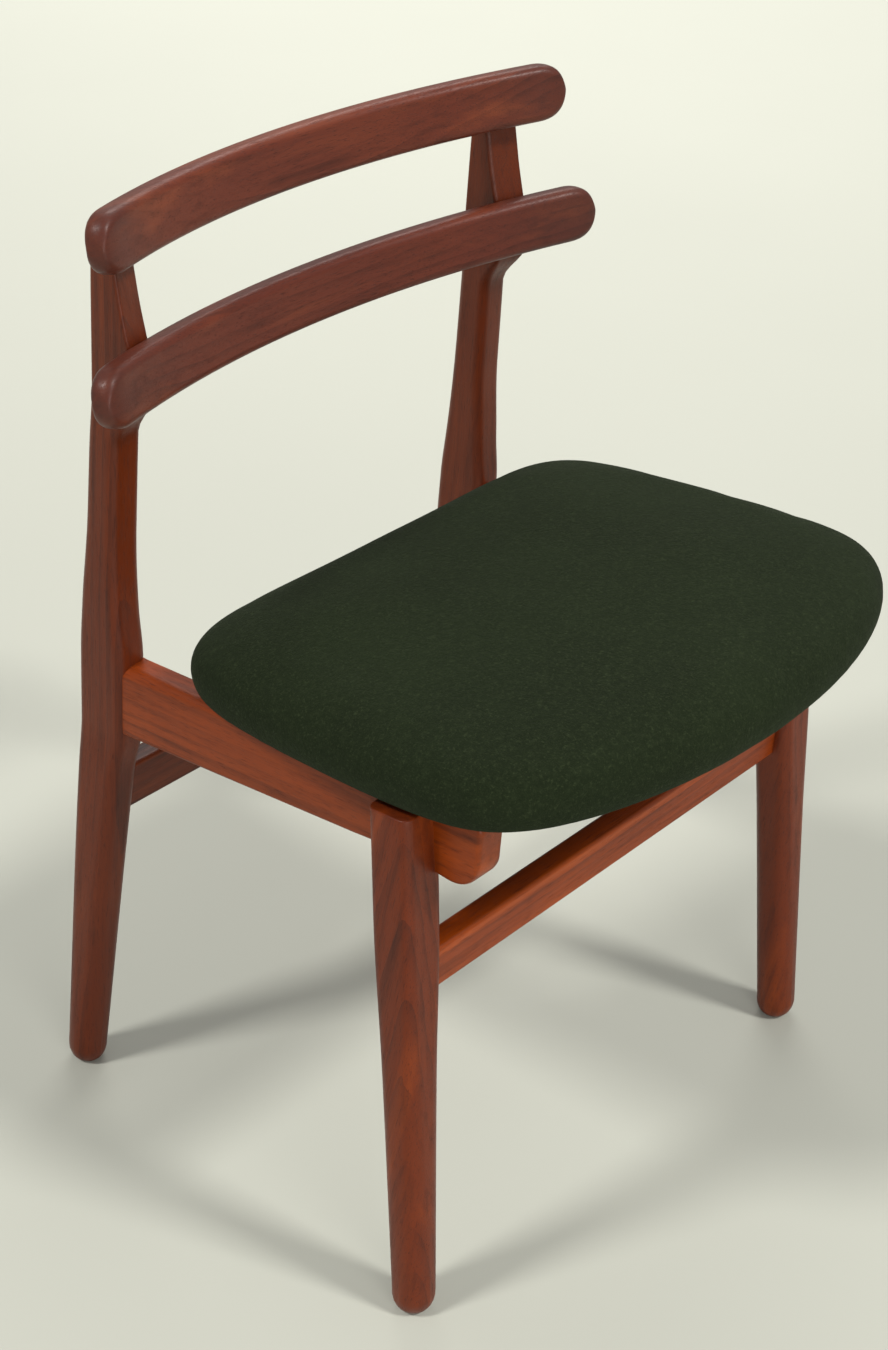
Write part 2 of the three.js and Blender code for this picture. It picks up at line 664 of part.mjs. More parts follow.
function backRail(rail, grow = 0) {
  const endAngle = Math.asin(rail.halfLength / rail.radius);
  const halfDepth = rail.depth / 2;
  const endRound = BACK_RAIL_END_ROUND / rail.radius;
  const rings = [];
  for (let i = 0; i <= BACK_RAIL_STATIONS; i++) {
    // Stations crowd together in the round ends, and stop just short of the very tip.
    const along = -Math.cos((Math.PI * i) / BACK_RAIL_STATIONS);
    const share = Math.sign(along) * Math.abs(along) ** 0.8;
    const angle = share * (endAngle - TIP_ANGLE);
    const intoRound = Math.max(0, Math.abs(angle) - (endAngle - endRound)) / endRound;
    const fullness = (1 - intoRound ** BACK_RAIL_END_SQUARENESS) ** (1 / BACK_RAIL_END_SQUARENESS);
    const halfHeight = halfDepth * fullness + grow;
    const thinning = THREE.MathUtils.lerp(BACK_RAIL_END_THICKNESS, 1, fullness);
    const halfThick = (BACK_RAIL_THICKNESS / 2) * thinning + grow;
    const frame = railFrame(rail, angle);
    const section = roundedRectangle(halfThick, halfHeight, BACK_RAIL_EDGE + grow);
    rings.push(
      section.map((p) =>
        frame.centre.clone().addScaledVector(frame.back, p.x).addScaledVector(frame.up, p.y),
      ),
    );
  }
  return loft(rings);
}

// The dowels that hold a back rail to the left post, or the holes for them when grown.
function backDowels(rail, grow = 0) {
  const frame = railFrame(rail, crossingAngle(rail));
  const half = BACK_RAIL_THICKNESS / 2;
  return [-1, 1].map((side) => {
    const rise = (side * BACK_DOWEL_SPACING) / 2 - BACK_DOWEL_DROP;
    const middle = frame.centre.clone().addScaledVector(frame.up, rise);
    const from = middle.clone().addScaledVector(frame.back, half - BACK_DOWEL_IN_RAIL - grow);
    const to = middle.clone().addScaledVector(frame.back, half + BACK_DOWEL_IN_POST + grow);
    return bar(from, to, DOWEL_DIAMETER + 2 * grow);
  });
}

// ---------------------------------------------------------------- leg dowels and seat screws

function legDowels(grow = 0) {
  const z = seatPlane(-RAIL_RUN) - RAIL_DEPTH_AT_LEG / 2;
  const axis = legAxis(z);
  return [-1, 1].map((side) => {
    const y = axis.y + (side * LEG_DOWEL_SPACING) / 2;
    const from = new THREE.Vector3(RAIL_OUTER_X - LEG_DOWEL_IN_RAIL - grow, y, z);
    const to = new THREE.Vector3(RAIL_OUTER_X + LEG_DOWEL_IN_LEG + grow, y, z);
    return bar(from, to, DOWEL_DIAMETER + 2 * grow);
  });
}

// The seat's own frame: its floor is the seat plane, and its y runs down the slope.
const seatFrame = new THREE.Matrix4()
  .makeTranslation(0, 0, RAIL_TOP_AT_POST)
  .multiply(new THREE.Matrix4().makeRotationX(-SEAT_TILT));

function screwProfile(grow, headDrop) {
  const tip = BOARD_BOTTOM + SCREW_BITE + grow;
  const head = BOARD_BOTTOM + SCREW_BITE - SCREW_LENGTH + SCREW_HEAD_HEIGHT + grow;
  const shank = SCREW_DIAMETER / 2 + grow;
  const headRadius = SCREW_HEAD_DIAMETER / 2 + grow;
  return [
    new THREE.Vector2(0, head - SCREW_HEAD_HEIGHT - headDrop),
    new THREE.Vector2(headRadius, head - SCREW_HEAD_HEIGHT - headDrop),
    new THREE.Vector2(headRadius, head - 1),
    new THREE.Vector2(shank, head),
    new THREE.Vector2(shank, tip - SCREW_DIAMETER / 2),
    new THREE.Vector2(0, tip),
  ];
}

// A screw in the left side rail, or its hole and counterbore when grown. It stands square
// to the seat, with its head sunk in the rail's underside.
function seatScrew(y, grow = 0, headDrop = 0) {
  const geometry = new THREE.LatheGeometry(screwProfile(grow, headDrop), ROUND_SEGMENTS);
  geometry.rotateX(Math.PI / 2);
  geometry.translate(RAIL_MIDDLE_X, y / Math.cos(SEAT_TILT), 0);
  return geometry.applyMatrix4(seatFrame);
}

function screwHole(y) {
  return toSolid(seatScrew(y, CLEARANCE, RAIL_DEPTH_AT_POST));
}

// ---------------------------------------------------------------- seat

// The pad's widest line, in the seat's own frame: a squared ellipse with bulging sides that
// narrows towards the back.
function seatOutline() {
  const middleY = -SEAT_BACK_GAP - SEAT_DEPTH / 2;
  const meanHalfWidth = (SEAT_FRONT_WIDTH + SEAT_BACK_WIDTH) / 4;
  const taper = (SEAT_FRONT_WIDTH - SEAT_BACK_WIDTH) / 4;
  const squared = (value) => Math.sign(value) * Math.abs(value) ** (2 / SEAT_SQUARENESS);
  const samples = [];
  for (let i = 0; i < SEAT_OUTLINE_SAMPLES; i++) {
    const angle = (2 * Math.PI * i) / SEAT_OUTLINE_SAMPLES - Math.PI / 2;
    const across = squared(Math.cos(angle));
    const along = squared(Math.sin(angle));
    const halfWidth = meanHalfWidth - taper * along + SEAT_SIDE_BULGE * (1 - along ** 2);
    const cornerSetback = SEAT_FRONT_BULGE * across ** 2 * Math.max(0, -along);
    samples.push(
      new THREE.Vector3(across * halfWidth, middleY + (along * SEAT_DEPTH) / 2 + cornerSetback, 0),
    );
  }
  const outline = new THREE.CatmullRomCurve3(samples, true);
  return outline.getSpacedPoints(SEAT_OUTLINE_POINTS).slice(0, -1);
}

// The outline drawn in towards the middle by an inset, at a height above the seat plane.
function seatRing(inset, height) {
  const outline = seatOutline();
  const middleY = -SEAT_BACK_GAP - SEAT_DEPTH / 2;
  const shareX = 1 - (2 * inset) / SEAT_FRONT_WIDTH;
  const shareY = 1 - (2 * inset) / SEAT_DEPTH;
  return outline.map((p) => new THREE.Vector3(p.x * shareX, middleY + (p.y - middleY) * shareY, height));
}

// The whole upholstered pad, drawn in by a skin's thickness.
function padBlank(skin, floor) {
  const rings = [seatRing(SEAT_UNDERCUT + skin, floor)];
  const lowerSteps = 2;
  for (let i = 1; i <= lowerSteps; i++) {
    const a = (Math.PI / 2) * (i / lowerSteps);
    const lift = (SEAT_WIDEST_HEIGHT - floor) * (1 - Math.cos(a));
    rings.push(seatRing(SEAT_UNDERCUT * (1 - Math.sin(a)) + skin, floor + lift));
  }
  const upperSteps = 4;
  for (let i = 1; i <= upperSteps; i++) {
    const a = (Math.PI / 2) * (i / upperSteps) * 0.92;
    const lift = (SEAT_EDGE_HEIGHT - SEAT_WIDEST_HEIGHT - skin) * Math.sin(a);
    rings.push(seatRing(SEAT_EDGE_ROLL * (1 - Math.cos(a)) + skin, SEAT_WIDEST_HEIGHT + lift));
  }
  const reach = Math.min(SEAT_FRONT_WIDTH, SEAT_DEPTH) / 2 - SEAT_EDGE_ROLL;
  for (const share of [0.25, 0.6]) {
    const height = SEAT_EDGE_HEIGHT + SEAT_CROWN * (1 - (1 - share) ** 2) - skin;
    rings.push(seatRing(SEAT_EDGE_ROLL + reach * share, height));
  }
  return loft(rings);
}

// A flat sheet or board with the seat's outline.
function seatSlab(inset, bottom, top) {
  return loft([seatRing(inset, bottom), seatRing(inset, top)]);
}

function inSeatFrame(solid) {
  return toSolid(toGeometry(solid).applyMatrix4(seatFrame));
}

function withoutScrews(solid) {
  let result = solid;
  for (const y of Object.values(SCREW_Y)) {
    const left = screwHole(y);
    const right = toSolid(mirrored(toGeometry(left)));
    result = result.subtract(left).subtract(right);
  }
  return result;
}

function seatBoard() {
  return withoutScrews(inSeatFrame(seatSlab(BOARD_INSET, BOARD_BOTTOM, BOARD_TOP)));
}

function seatFoam() {
  const blank = padBlank(COVER_THICKNESS + CLEARANCE, BOARD_BOTTOM);
  const room = seatSlab(BOARD_INSET - CLEARANCE, BOARD_BOTTOM - OVERCUT, BOARD_TOP + CLEARANCE);
  return inSeatFrame(blank.subtract(room));
}

function seatCover() {
  const inside = padBlank(COVER_THICKNESS, BOARD_BOTTOM - CLEARANCE);
  const opening = seatSlab(SEAT_UNDERCUT + COVER_TURN_IN, COVER_BOTTOM - OVERCUT, BOARD_BOTTOM);
  return withoutScrews(inSeatFrame(padBlank(0, COVER_BOTTOM).subtract(inside).subtract(opening)));
}

function dustCover() {
  return withoutScrews(inSeatFrame(seatSlab(DUST_COVER_INSET, CLEARANCE, DUST_COVER_TOP)));
}

// ---------------------------------------------------------------- the pieces

const chair = new THREE.Group();

function addPiece(name, geometry, material) {
  const mesh = new THREE.Mesh(geometry, material);
  mesh.name = name;
  chair.add(mesh);
}

function addPair(name, geometry, material) {
  addPiece(`${name}_left`, geometry, material);
  addPiece(`${name}_right`, mirrored(geometry), material);
}

function sideRail() {
  let rail = railBlank().subtract(postBlank(CLEARANCE)).add(railTenon());
  for (const dowel of legDowels(CLEARANCE)) rail = rail.subtract(toSolid(dowel));
  return withoutScrews(rail);
}

function backPost() {
  const stretcherMortise = placeTenon(rearStretcherPlace(), CLEARANCE);
  let post = postBlank().subtract(railTenon(CLEARANCE)).subtract(stretcherMortise);
  for (const rail of [LOWER_RAIL, TOP_RAIL]) {
    post = post.subtract(backRail(rail, CLEARANCE));
    for (const dowel of backDowels(rail, CLEARANCE)) post = post.subtract(toSolid(dowel));
  }
  return post;
}

function frontLeg() {
  let leg = legBlank().subtract(railBlank(CLEARANCE));
  for (const dowel of legDowels(CLEARANCE)) leg = leg.subtract(toSolid(dowel));
  return leg.subtract(placeTenon(frontStretcherPlace(), CLEARANCE));
}

function drilledBackRail(rail) {
  let solid = backRail(rail);
  for (const dowel of backDowels(rail, CLEARANCE)) {
    solid = solid.subtract(toSolid(dowel)).subtract(toSolid(mirrored(dowel)));
  }
  return solid;
}

addPair('back_post', toGeometry(backPost()), postTeak);
addPair('front_leg', toGeometry(frontLeg()), postTeak);
addPair('side_rail', toGeometry(sideRail()), railTeak);
addPiece('front_stretcher', toGeometry(stretcher(frontStretcherPlace(), legBlank(CLEARANCE))), railTeak);
addPiece('rear_stretcher', toGeometry(stretcher(rearStretcherPlace(), postBlank(CLEARANCE))), postTeak);
addPiece('top_back_rail', toGeometry(drilledBackRail(TOP_RAIL)), backTeak);
addPiece('lower_back_rail', toGeometry(drilledBackRail(LOWER_RAIL)), backTeak);

const dowelPlaces = { upper: 1, lower: 0 };
for (const [place, which] of Object.entries(dowelPlaces)) {
  addPair(`top_rail_dowel_${place}`, backDowels(TOP_RAIL)[which], beech);
  addPair(`lower_rail_dowel_${place}`, backDowels(LOWER_RAIL)[which], beech);
}
const legDowelPlaces = { front: 0, rear: 1 };
for (const [place, which] of Object.entries(legDowelPlaces)) {
  addPair(`leg_dowel_${place}`, legDowels()[which], beech);
}
for (const [place, y] of Object.entries(SCREW_Y)) {
  addPair(`seat_screw_${place}`, seatScrew(y), steel);
}

addPiece('seat_board', toGeometry(seatBoard()), plywood);
addPiece('seat_foam', toGeometry(seatFoam()), foamRubber);
addPiece('seat_cover', toGeometry(seatCover()), wool);
addPiece('seat_dust_cover', toGeometry(dustCover()), cambric);

// Move the origin to the middle of the chair's bounding box, on the floor.
const bounds = new THREE.Box3().setFromObject(chair);
chair.position.y = -(bounds.min.y + bounds.max.y) / 2;
chair.updateMatrixWorld(true);

export default chair;
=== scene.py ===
"""A teak dining chair with two bowed back rails and a green wool seat: its finished look."""

import math

import bpy
from mathutils import Matrix, Vector


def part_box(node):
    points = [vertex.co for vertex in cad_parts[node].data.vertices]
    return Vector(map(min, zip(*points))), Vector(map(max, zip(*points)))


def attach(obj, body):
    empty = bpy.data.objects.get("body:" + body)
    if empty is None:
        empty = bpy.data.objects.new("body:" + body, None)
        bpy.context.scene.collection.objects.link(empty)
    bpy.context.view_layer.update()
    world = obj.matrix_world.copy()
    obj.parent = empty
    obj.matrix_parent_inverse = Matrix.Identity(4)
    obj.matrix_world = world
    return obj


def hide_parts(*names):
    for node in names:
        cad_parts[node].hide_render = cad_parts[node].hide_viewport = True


bl_info = {
    "name": "Teak dining chair",
    "version": (1, 0, 0),
    "blender": (4, 5, 0),
    "location": "3D View > Sidebar > Chair",
    "description": "Builds the finished look of a teak dining chair round its packed frame",
    "category": "Object",
}

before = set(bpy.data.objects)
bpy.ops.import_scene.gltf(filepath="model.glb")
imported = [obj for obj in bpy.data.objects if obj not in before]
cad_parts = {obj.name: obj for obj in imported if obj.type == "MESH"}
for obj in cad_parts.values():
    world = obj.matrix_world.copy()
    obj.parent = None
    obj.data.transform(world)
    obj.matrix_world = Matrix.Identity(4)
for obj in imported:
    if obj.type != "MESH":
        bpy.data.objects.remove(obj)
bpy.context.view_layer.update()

MM = 0.001
POST_FACE_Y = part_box("side_rail_left")[1].y - 28 * MM  # front of the posts, at the side rails
RAIL_OUTER_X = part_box("side_rail_left")[1].x
RAIL_INNER_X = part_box("side_rail_left")[0].x
SEAT_TILT = math.radians(8)
SEAT_HEIGHT = 383 * MM  # of the side rails' tops at the posts
LEG_TO_POST = 280.5 * MM  # from the posts' front to the front legs' axes, at the top

FOOT_DOME = 15 * MM  # height of the rounded tip of a foot
FOOT_FLAT = 7 * MM  # radius of the flat that a foot stands on
POST_FOOT_X = 225 * MM
POST_FOOT_Y = 26.5 * MM  # behind the post's front at the side rail
POST_FOOT_RADIUS = 15.25 * MM
POST_TOP_EASE = 4 * MM

LEG_TOP_X = 216 * MM
LEG_SPLAY = 14 * MM  # outwards, from the leg's top to the floor
LEG_RAKE = 57.5 * MM  # forwards, from the leg's top to the floor
LEG_FOOT_RADIUS = 16 * MM
LEG_TOP_EASE = 1.2 * MM

RAIL_BOTTOM = 324 * MM  # of a side rail at the post
RAIL_DEPTH_AT_LEG = 49 * MM
RAIL_RISE = 9 * MM  # from a side rail's lowest point at the leg back up to its curve
RAIL_CURVE_FROM = 230.5 * MM  # from the post to where the lower edge starts to level out
RAIL_TENON = 8 * MM
STUB_REACH = 59.5 * MM  # from the leg's axis to the front end of the rail
STUB_CORNER = 25 * MM
STUB_TOP_CORNER = 7 * MM
SCREW_CLEARANCE = 0.5 * MM

BACK_RAIL_LEAN = math.radians(11.5)
BACK_RAIL_THICKNESS = 20 * MM
BACK_RAIL_HALF_DEPTH = 21.25 * MM
BACK_RAIL_END_ROUND = 25 * MM
BACK_RAIL_END_SQUARENESS = 2.4
BACK_RAIL_END_SHARE = 0.45  # of the thickness, left at the very end
POST_SLOPE = math.tan(math.radians(13.2))  # of the posts' faces behind the back rails
POST_X_AT_BACK_RAILS = 192 * MM
LOWER_RAIL_HEIGHT = 621 * MM

SIDE_BULGE = 13 * MM
FRONT_BOW = 52.5 * MM  # setback of the front corners behind the middle of the front edge
PAD_SKIN = -2.6 * MM  # inset of the form, which is a little bigger than the finished pad
PAD_FLOOR = 1.7 * MM  # height of the pad's underside above the side rails' tops
PAD_WIDEST = 24 * MM  # height of the pad's widest line
PAD_UNDERCUT = 10 * MM  # inset of the underside
PAD_SHOULDER = 26 * MM  # inset of the upper edge's rounding
PAD_EDGE_TOP = 48 * MM
PAD_CROWN = 13 * MM
DUST_MARGIN = 27 * MM
STAPLE_MARGIN = 33 * MM

CORNER_STEPS = 6
FOOT_STEPS = 8


# ---------------------------------------------------------------- sizes and colours


class ChairWood(bpy.types.PropertyGroup):
    """Colours and sizes of the wooden pieces."""

    post_colour: bpy.props.FloatVectorProperty(
        name="Posts and legs",
        description="Main colour of the back posts and front legs",
        subtype="COLOR",
        size=3,
        min=0,
        max=1,
        default=(0.110, 0.0175, 0.0030),
    )
    rail_colour: bpy.props.FloatVectorProperty(
        name="Side rails",
        description="Main colour of the side rails and the front stretcher",
        subtype="COLOR",
        size=3,
        min=0,
        max=1,
        default=(0.205, 0.031, 0.0014),
    )
    back_colour: bpy.props.FloatVectorProperty(
        name="Back rails",
        description="Main colour of the two bowed back rails",
        subtype="COLOR",
        size=3,
        min=0,
        max=1,
        default=(0.118, 0.0240, 0.0125),
    )
    streak_colour: bpy.props.FloatVectorProperty(
        name="Streaks",
        description="Colour of the dark lines in the grain",
        subtype="COLOR",
        size=3,
        min=0,
        max=1,
        default=(0.016, 0.0040, 0.0026),
    )
    roughness: bpy.props.FloatProperty(
        name="Roughness",
        description="How matt the oiled wood is",
        subtype="FACTOR",
        min=0.1,
        max=1,
        default=0.4,
    )
    edge: bpy.props.FloatProperty(
        name="Rail edge",
        description="Rounding along the edges of the side rails",
        unit="LENGTH",
        min=0.001,
        max=0.008,
        default=0.0035,
    )
    saddle_edge: bpy.props.FloatProperty(
        name="Rail edge at the post",
        description="Rounding of a side rail's upper outer edge where it meets the post",
        unit="LENGTH",
        min=0.001,
        max=0.011,
        default=0.009,
    )
    back_edge: bpy.props.FloatProperty(
        name="Back rail edge",
        description="Rounding along the edges of the back rails",
        unit="LENGTH",
        min=0.001,
        max=0.0095,
        default=0.007,
    )


class ChairSeat(bpy.types.PropertyGroup):
    """Sizes and colours of the upholstered seat."""

    front_width: bpy.props.FloatProperty(
        name="Front width",
        description="Width across the front corners, before the sides' bulge",
        unit="LENGTH",
        default=0.450,
    )
    back_width: bpy.props.FloatProperty(
        name="Back width",
        description="Width across the back corners",
        unit="LENGTH",
        default=0.430,
    )
    depth: bpy.props.FloatProperty(
        name="Depth",
        description="From the back edge to the middle of the front edge",
        unit="LENGTH",
        default=0.379,
    )
    back_gap: bpy.props.FloatProperty(
        name="Back gap",
        description="From the posts' front to the back edge of the seat",
        unit="LENGTH",
        default=0.050,
    )
    squareness: bpy.props.FloatProperty(
        name="Squareness",
        description="Exponent of the outline: 2 is an ellipse, and more is squarer",
        min=2,
        max=20,
        default=7.5,
    )
    wool_colour: bpy.props.FloatVectorProperty(
        name="Wool",
        description="Main colour of the wool",
        subtype="COLOR",
        size=3,
        min=0,
        max=1,
        default=(0.0078, 0.0128, 0.0046),
    )
    fleck_colour: bpy.props.FloatVectorProperty(
        name="Wool flecks",
        description="Colour of the paler fibres in the wool",
        subtype="COLOR",
        size=3,
        min=0,
        max=1,
        default=(0.030, 0.042, 0.018),
    )
    swell: bpy.props.FloatProperty(
        name="Swell",
        description="The most that the padding may swell out",
        unit="LENGTH",
        min=0,
        max=0.02,
        default=0.004,
    )


class ChairStage(bpy.types.PropertyGroup):
    """Floor, light and camera."""

    floor_colour: bpy.props.FloatVectorProperty(
        name="Floor",
        description="Colour of the plain floor",
        subtype="COLOR",
        size=3,
        min=0,
        max=1,
        default=(0.47, 0.485, 0.43),
    )
    key_strength: bpy.props.FloatProperty(
        name="Main lights",
        description="Strength of each of the two soft lights from above",
        min=0,
        default=1.85,
    )
    fill_power: bpy.props.FloatProperty(
        name="Fill light",
        description="Power of the soft light from the front, in watts",
        min=0,
        default=26,
    )
    sky: bpy.props.FloatProperty(
        name="Surroundings",
        description="Brightness of the even light from all round",
        min=0,
        default=0.34,
    )
    camera_place: bpy.props.FloatVectorProperty(
        name="Camera",
        description="Where the camera stands",
        subtype="TRANSLATION",
        unit="LENGTH",
        size=3,
        default=(-1.1649, -0.8942, 1.3605),
    )
    camera_turn: bpy.props.FloatVectorProperty(
        name="Camera direction",
        description="Turn about the vertical, tilt below the horizon, and roll",
        unit="ROTATION",
        size=3,
        default=(math.radians(-50.886), math.radians(33.989), math.radians(4.8)),
    )
    lens: bpy.props.FloatProperty(
        name="Lens",
        description="Focal length in millimetres, on a 36 mm frame",
        default=63.6,
    )


# ---------------------------------------------------------------- modelling helpers


def deselect():
    if bpy.context.object and bpy.context.object.mode != "OBJECT":
        bpy.ops.object.mode_set(mode="OBJECT")
    bpy.ops.object.select_all(action="DESELECT")


def take(piece):
    """Makes a piece the only selected one."""
    deselect()
    piece.select_set(True)
    bpy.context.view_layer.objects.active = piece


def edit(piece, select="SELECT"):
    """Enters edit mode on a piece with all or none of it selected."""
    take(piece)
    bpy.ops.object.mode_set(mode="EDIT")
    bpy.ops.mesh.select_mode(type="VERT")
    bpy.ops.mesh.select_all(action=select)


def leave():
    bpy.ops.object.mode_set(mode="OBJECT")


def settle(piece):
    """Puts a piece's place into its mesh, so that the object sits at the origin."""
    take(piece)
    bpy.ops.object.transform_apply(location=True, rotation=True, scale=True)


def apply_modifier(piece, kind, **settings):
    take(piece)
    modifier = piece.modifiers.new(kind.title(), kind)
    for key, value in settings.items():
        setattr(modifier, key, value)
    bpy.ops.object.modifier_apply(modifier=modifier.name)


def smooth(piece, angle=40):
    take(piece)
    bpy.ops.object.shade_smooth_by_angle(angle=math.radians(angle))
    apply_modifier(piece, "WEIGHTED_NORMAL", keep_sharp=True)


def copy_of(piece, name, flip=False):
    """A copy with its own mesh, on the other side of the chair if it is flipped."""
    take(piece)
    bpy.ops.object.duplicate()
    other = bpy.context.object
    other.name = other.data.name = name
    if flip:
        bpy.ops.transform.mirror(
            constraint_axis=(True, False, False), center_override=(0, 0, 0)
        )
        settle(other)
        edit(other)
        bpy.ops.mesh.normals_make_consistent(inside=False)
        leave()
    return other


def finish_piece(piece, name, material, slot, *nodes):
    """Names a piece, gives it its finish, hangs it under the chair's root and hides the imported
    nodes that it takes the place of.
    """
    piece.name = piece.data.name = name
    piece.data.materials.clear()
    piece.data.materials.append(material)
    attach(piece, "root")
    if nodes:
        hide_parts(*nodes)
    return piece


def rounded_section(half_width, half_depth, radii):
    """Points of a rectangle with rounded corners, anticlockwise from its right side."""
    corners = ((1, 1), (-1, 1), (-1, -1), (1, -1))
    points = []
    for k, (sx, sy) in enumerate(corners):
        r = min(radii[k], half_width - 1e-5, half_depth - 1e-5)
        for step in range(CORNER_STEPS + 1):
            a = math.pi / 2 * (k + step / CORNER_STEPS)
            points.append(
                (
                    sx * (half_width - r) + r * math.cos(a),
                    sy * (half_depth - r) + r * math.sin(a),
                )
            )
    return points


def rolled_bar(rings):
    """A closed bar: a flat grid rolled round rings of points, with its two ends closed."""
    around, last = len(rings[0]), len(rings) - 1
    deselect()
    bpy.ops.mesh.primitive_grid_add(x_subdivisions=around, y_subdivisions=last, size=1)
    bar = bpy.context.object
    for vertex in bar.data.vertices:
        i = round((vertex.co.x + 0.5) * around) % around
        vertex.co = rings[round((vertex.co.y + 0.5) * last)][i]
    edit(bar)
    bpy.ops.mesh.remove_doubles(threshold=1e-6)
    bpy.ops.mesh.fill_holes(sides=0)
    bpy.ops.mesh.normals_make_consistent(inside=False)
    leave()
    return bar


def through(stations, z):
    """Values at a height on a smooth curve through stations that never overshoots."""
    i = 0
    while i + 2 < len(stations) and z > stations[i + 1][0]:
        i += 1
    low, high = stations[i], stations[i + 1]
    rise = high[0] - low[0]
    t = min(max((z - low[0]) / rise, 0), 1)

    def slope(k, c):
        a, b = stations[k], stations[k + 1]
        return (b[c] - a[c]) / (b[0] - a[0])

    def tangent(k, c):
        if k == 0:
            return slope(0, c)
        if k == len(stations) - 1:
            return slope(k - 1, c)
        m, n = slope(k - 1, c), slope(k, c)
        return 0 if m * n <= 0 else 2 * m * n / (m + n)

    values = [z]
    for c in range(1, len(low)):
        m, n = tangent(i, c) * rise, tangent(i + 1, c) * rise
        a, b = low[c], high[c]
        values.append(
            a
            + m * t
            + (3 * (b - a) - 2 * m - n) * t**2
            + (m + n - 2 * (b - a)) * t**3
        )
    return values


def foot_rings(x, y, radius):
    """Rings of the rounded tip of a foot, up to its full section."""
    rings = []
    for step in range(FOOT_STEPS):
        rise = step / FOOT_STEPS
        spread = FOOT_FLAT + (radius - FOOT_FLAT) * math.sqrt(1 - (1 - rise) ** 2)
        section = rounded_section(spread, spread, (spread,) * 4)
        rings.append([Vector((x + a, y + b, FOOT_DOME * rise)) for a, b in section])
    return rings


def seat_plane(y):
    """Height of the side rails' and front legs' tops."""
    return SEAT_HEIGHT - (y - POST_FACE_Y) * math.tan(SEAT_TILT)


# ---------------------------------------------------------------- finishes


class Field:
    """A value that varies over a surface, for use in plain expressions."""

    def __init__(self, tree, socket):
        self.tree, self.socket = tree, socket

    def calc(self, operation, *values):
        node = self.tree.nodes.new("ShaderNodeMath")
        node.operation = operation
        for slot, value in zip(node.inputs, values):
            plug(self.tree, slot, value)
        return Field(self.tree, node.outputs[0])

    def __add__(self, other):
        return self.calc("ADD", self, other)

    def __radd__(self, other):
        return self.calc("ADD", other, self)

    def __sub__(self, other):
        return self.calc("SUBTRACT", self, other)

    def __rsub__(self, other):
        return self.calc("SUBTRACT", other, self)

    def __mul__(self, other):
        return self.calc("MULTIPLY", self, other)

    def __rmul__(self, other):
        return self.calc("MULTIPLY", other, self)

    def __truediv__(self, other):
        return self.calc("DIVIDE", self, other)

    def __pow__(self, other):
        return self.calc("POWER", self, other)

    def __abs__(self):
        return self.calc("ABSOLUTE", self)

    def fraction(self):
        return self.calc("FRACT", self)

    def sine(self):
        return self.calc("SINE", self)

    def within(self, low, high):
        """0 below low and 1 above high, with a smooth step between them."""
        node = self.tree.nodes.new("ShaderNodeMapRange")
        node.interpolation_type = "SMOOTHSTEP"
        plug(self.tree, node.inputs["Value"], self)
        node.inputs["From Min"].default_value = low
        node.inputs["From Max"].default_value = high
        return Field(self.tree, node.outputs["Result"])


def plug(tree, slot, value):
    """Links a field to a socket, or sets the socket to a plain value."""
    if isinstance(value, Field):
        tree.links.new(value.socket, slot)
    elif hasattr(value, "__len__") and slot.type == "RGBA" and len(value) == 3:
        slot.default_value = (*value, 1)
    else:
        slot.default_value = value


class Finish:
    """A procedural material under construction."""

    def __init__(self, name):
        self.material = bpy.data.materials.new(name)
        self.material.use_nodes = True
        self.tree = self.material.node_tree
        self.tree.nodes.clear()
        self.shader = self.tree.nodes.new("ShaderNodeBsdfPrincipled")
        output = self.tree.nodes.new("ShaderNodeOutputMaterial")
        self.tree.links.new(self.shader.outputs["BSDF"], output.inputs["Surface"])

    def node(self, kind, settings=None, inputs=None, output=0):
        """Any node: its type, then its settings, then its input values or links."""
        node = self.tree.nodes.new(kind)
        for key, value in (settings or {}).items():
            setattr(node, key, value)
        for key, value in (inputs or {}).items():
            plug(self.tree, node.inputs[key], value)
        return Field(self.tree, node.outputs[output])

    def place(self, turn=(0, 0, 0), scale=(1, 1, 1), shift=(0, 0, 0)):
        where = self.node("ShaderNodeTexCoord", output="Object")
        return self.node(
            "ShaderNodeMapping",
            inputs={"Vector": where, "Location": shift, "Rotation": turn, "Scale": scale},
        )

    def parts(self, vector):
        node = self.tree.nodes.new("ShaderNodeSeparateXYZ")
        plug(self.tree, node.inputs[0], vector)
        return [Field(self.tree, socket) for socket in node.outputs]

    def noise(self, vector, scale, detail=2.0, roughness=0.5):
        return self.node(
            "ShaderNodeTexNoise",
            inputs={"Vector": vector, "Scale": scale, "Detail": detail, "Roughness": roughness},
        )

    def mix(self, first, second, share):
        """The first colour where share is 0, and the second where it is 1."""
        return self.node(
            "ShaderNodeMix",
            {"data_type": "RGBA"},
            {0: share, 6: first, 7: second},
            output=2,
        )

    def bump(self, height, distance, strength=1.0, before=None):
        inputs = {"Height": height, "Distance": distance, "Strength": strength}
        if before:
            inputs["Normal"] = before
        return self.node("ShaderNodeBump", inputs=inputs)

    def set(self, **inputs):
        for key, value in inputs.items():
            plug(self.tree, self.shader.inputs[key.replace("_", " ")], value)
        return self.material


ALONG = {"X": (0.045, 1, 1), "Y": (1, 0.045, 1), "Z": (1, 1, 0.045)}


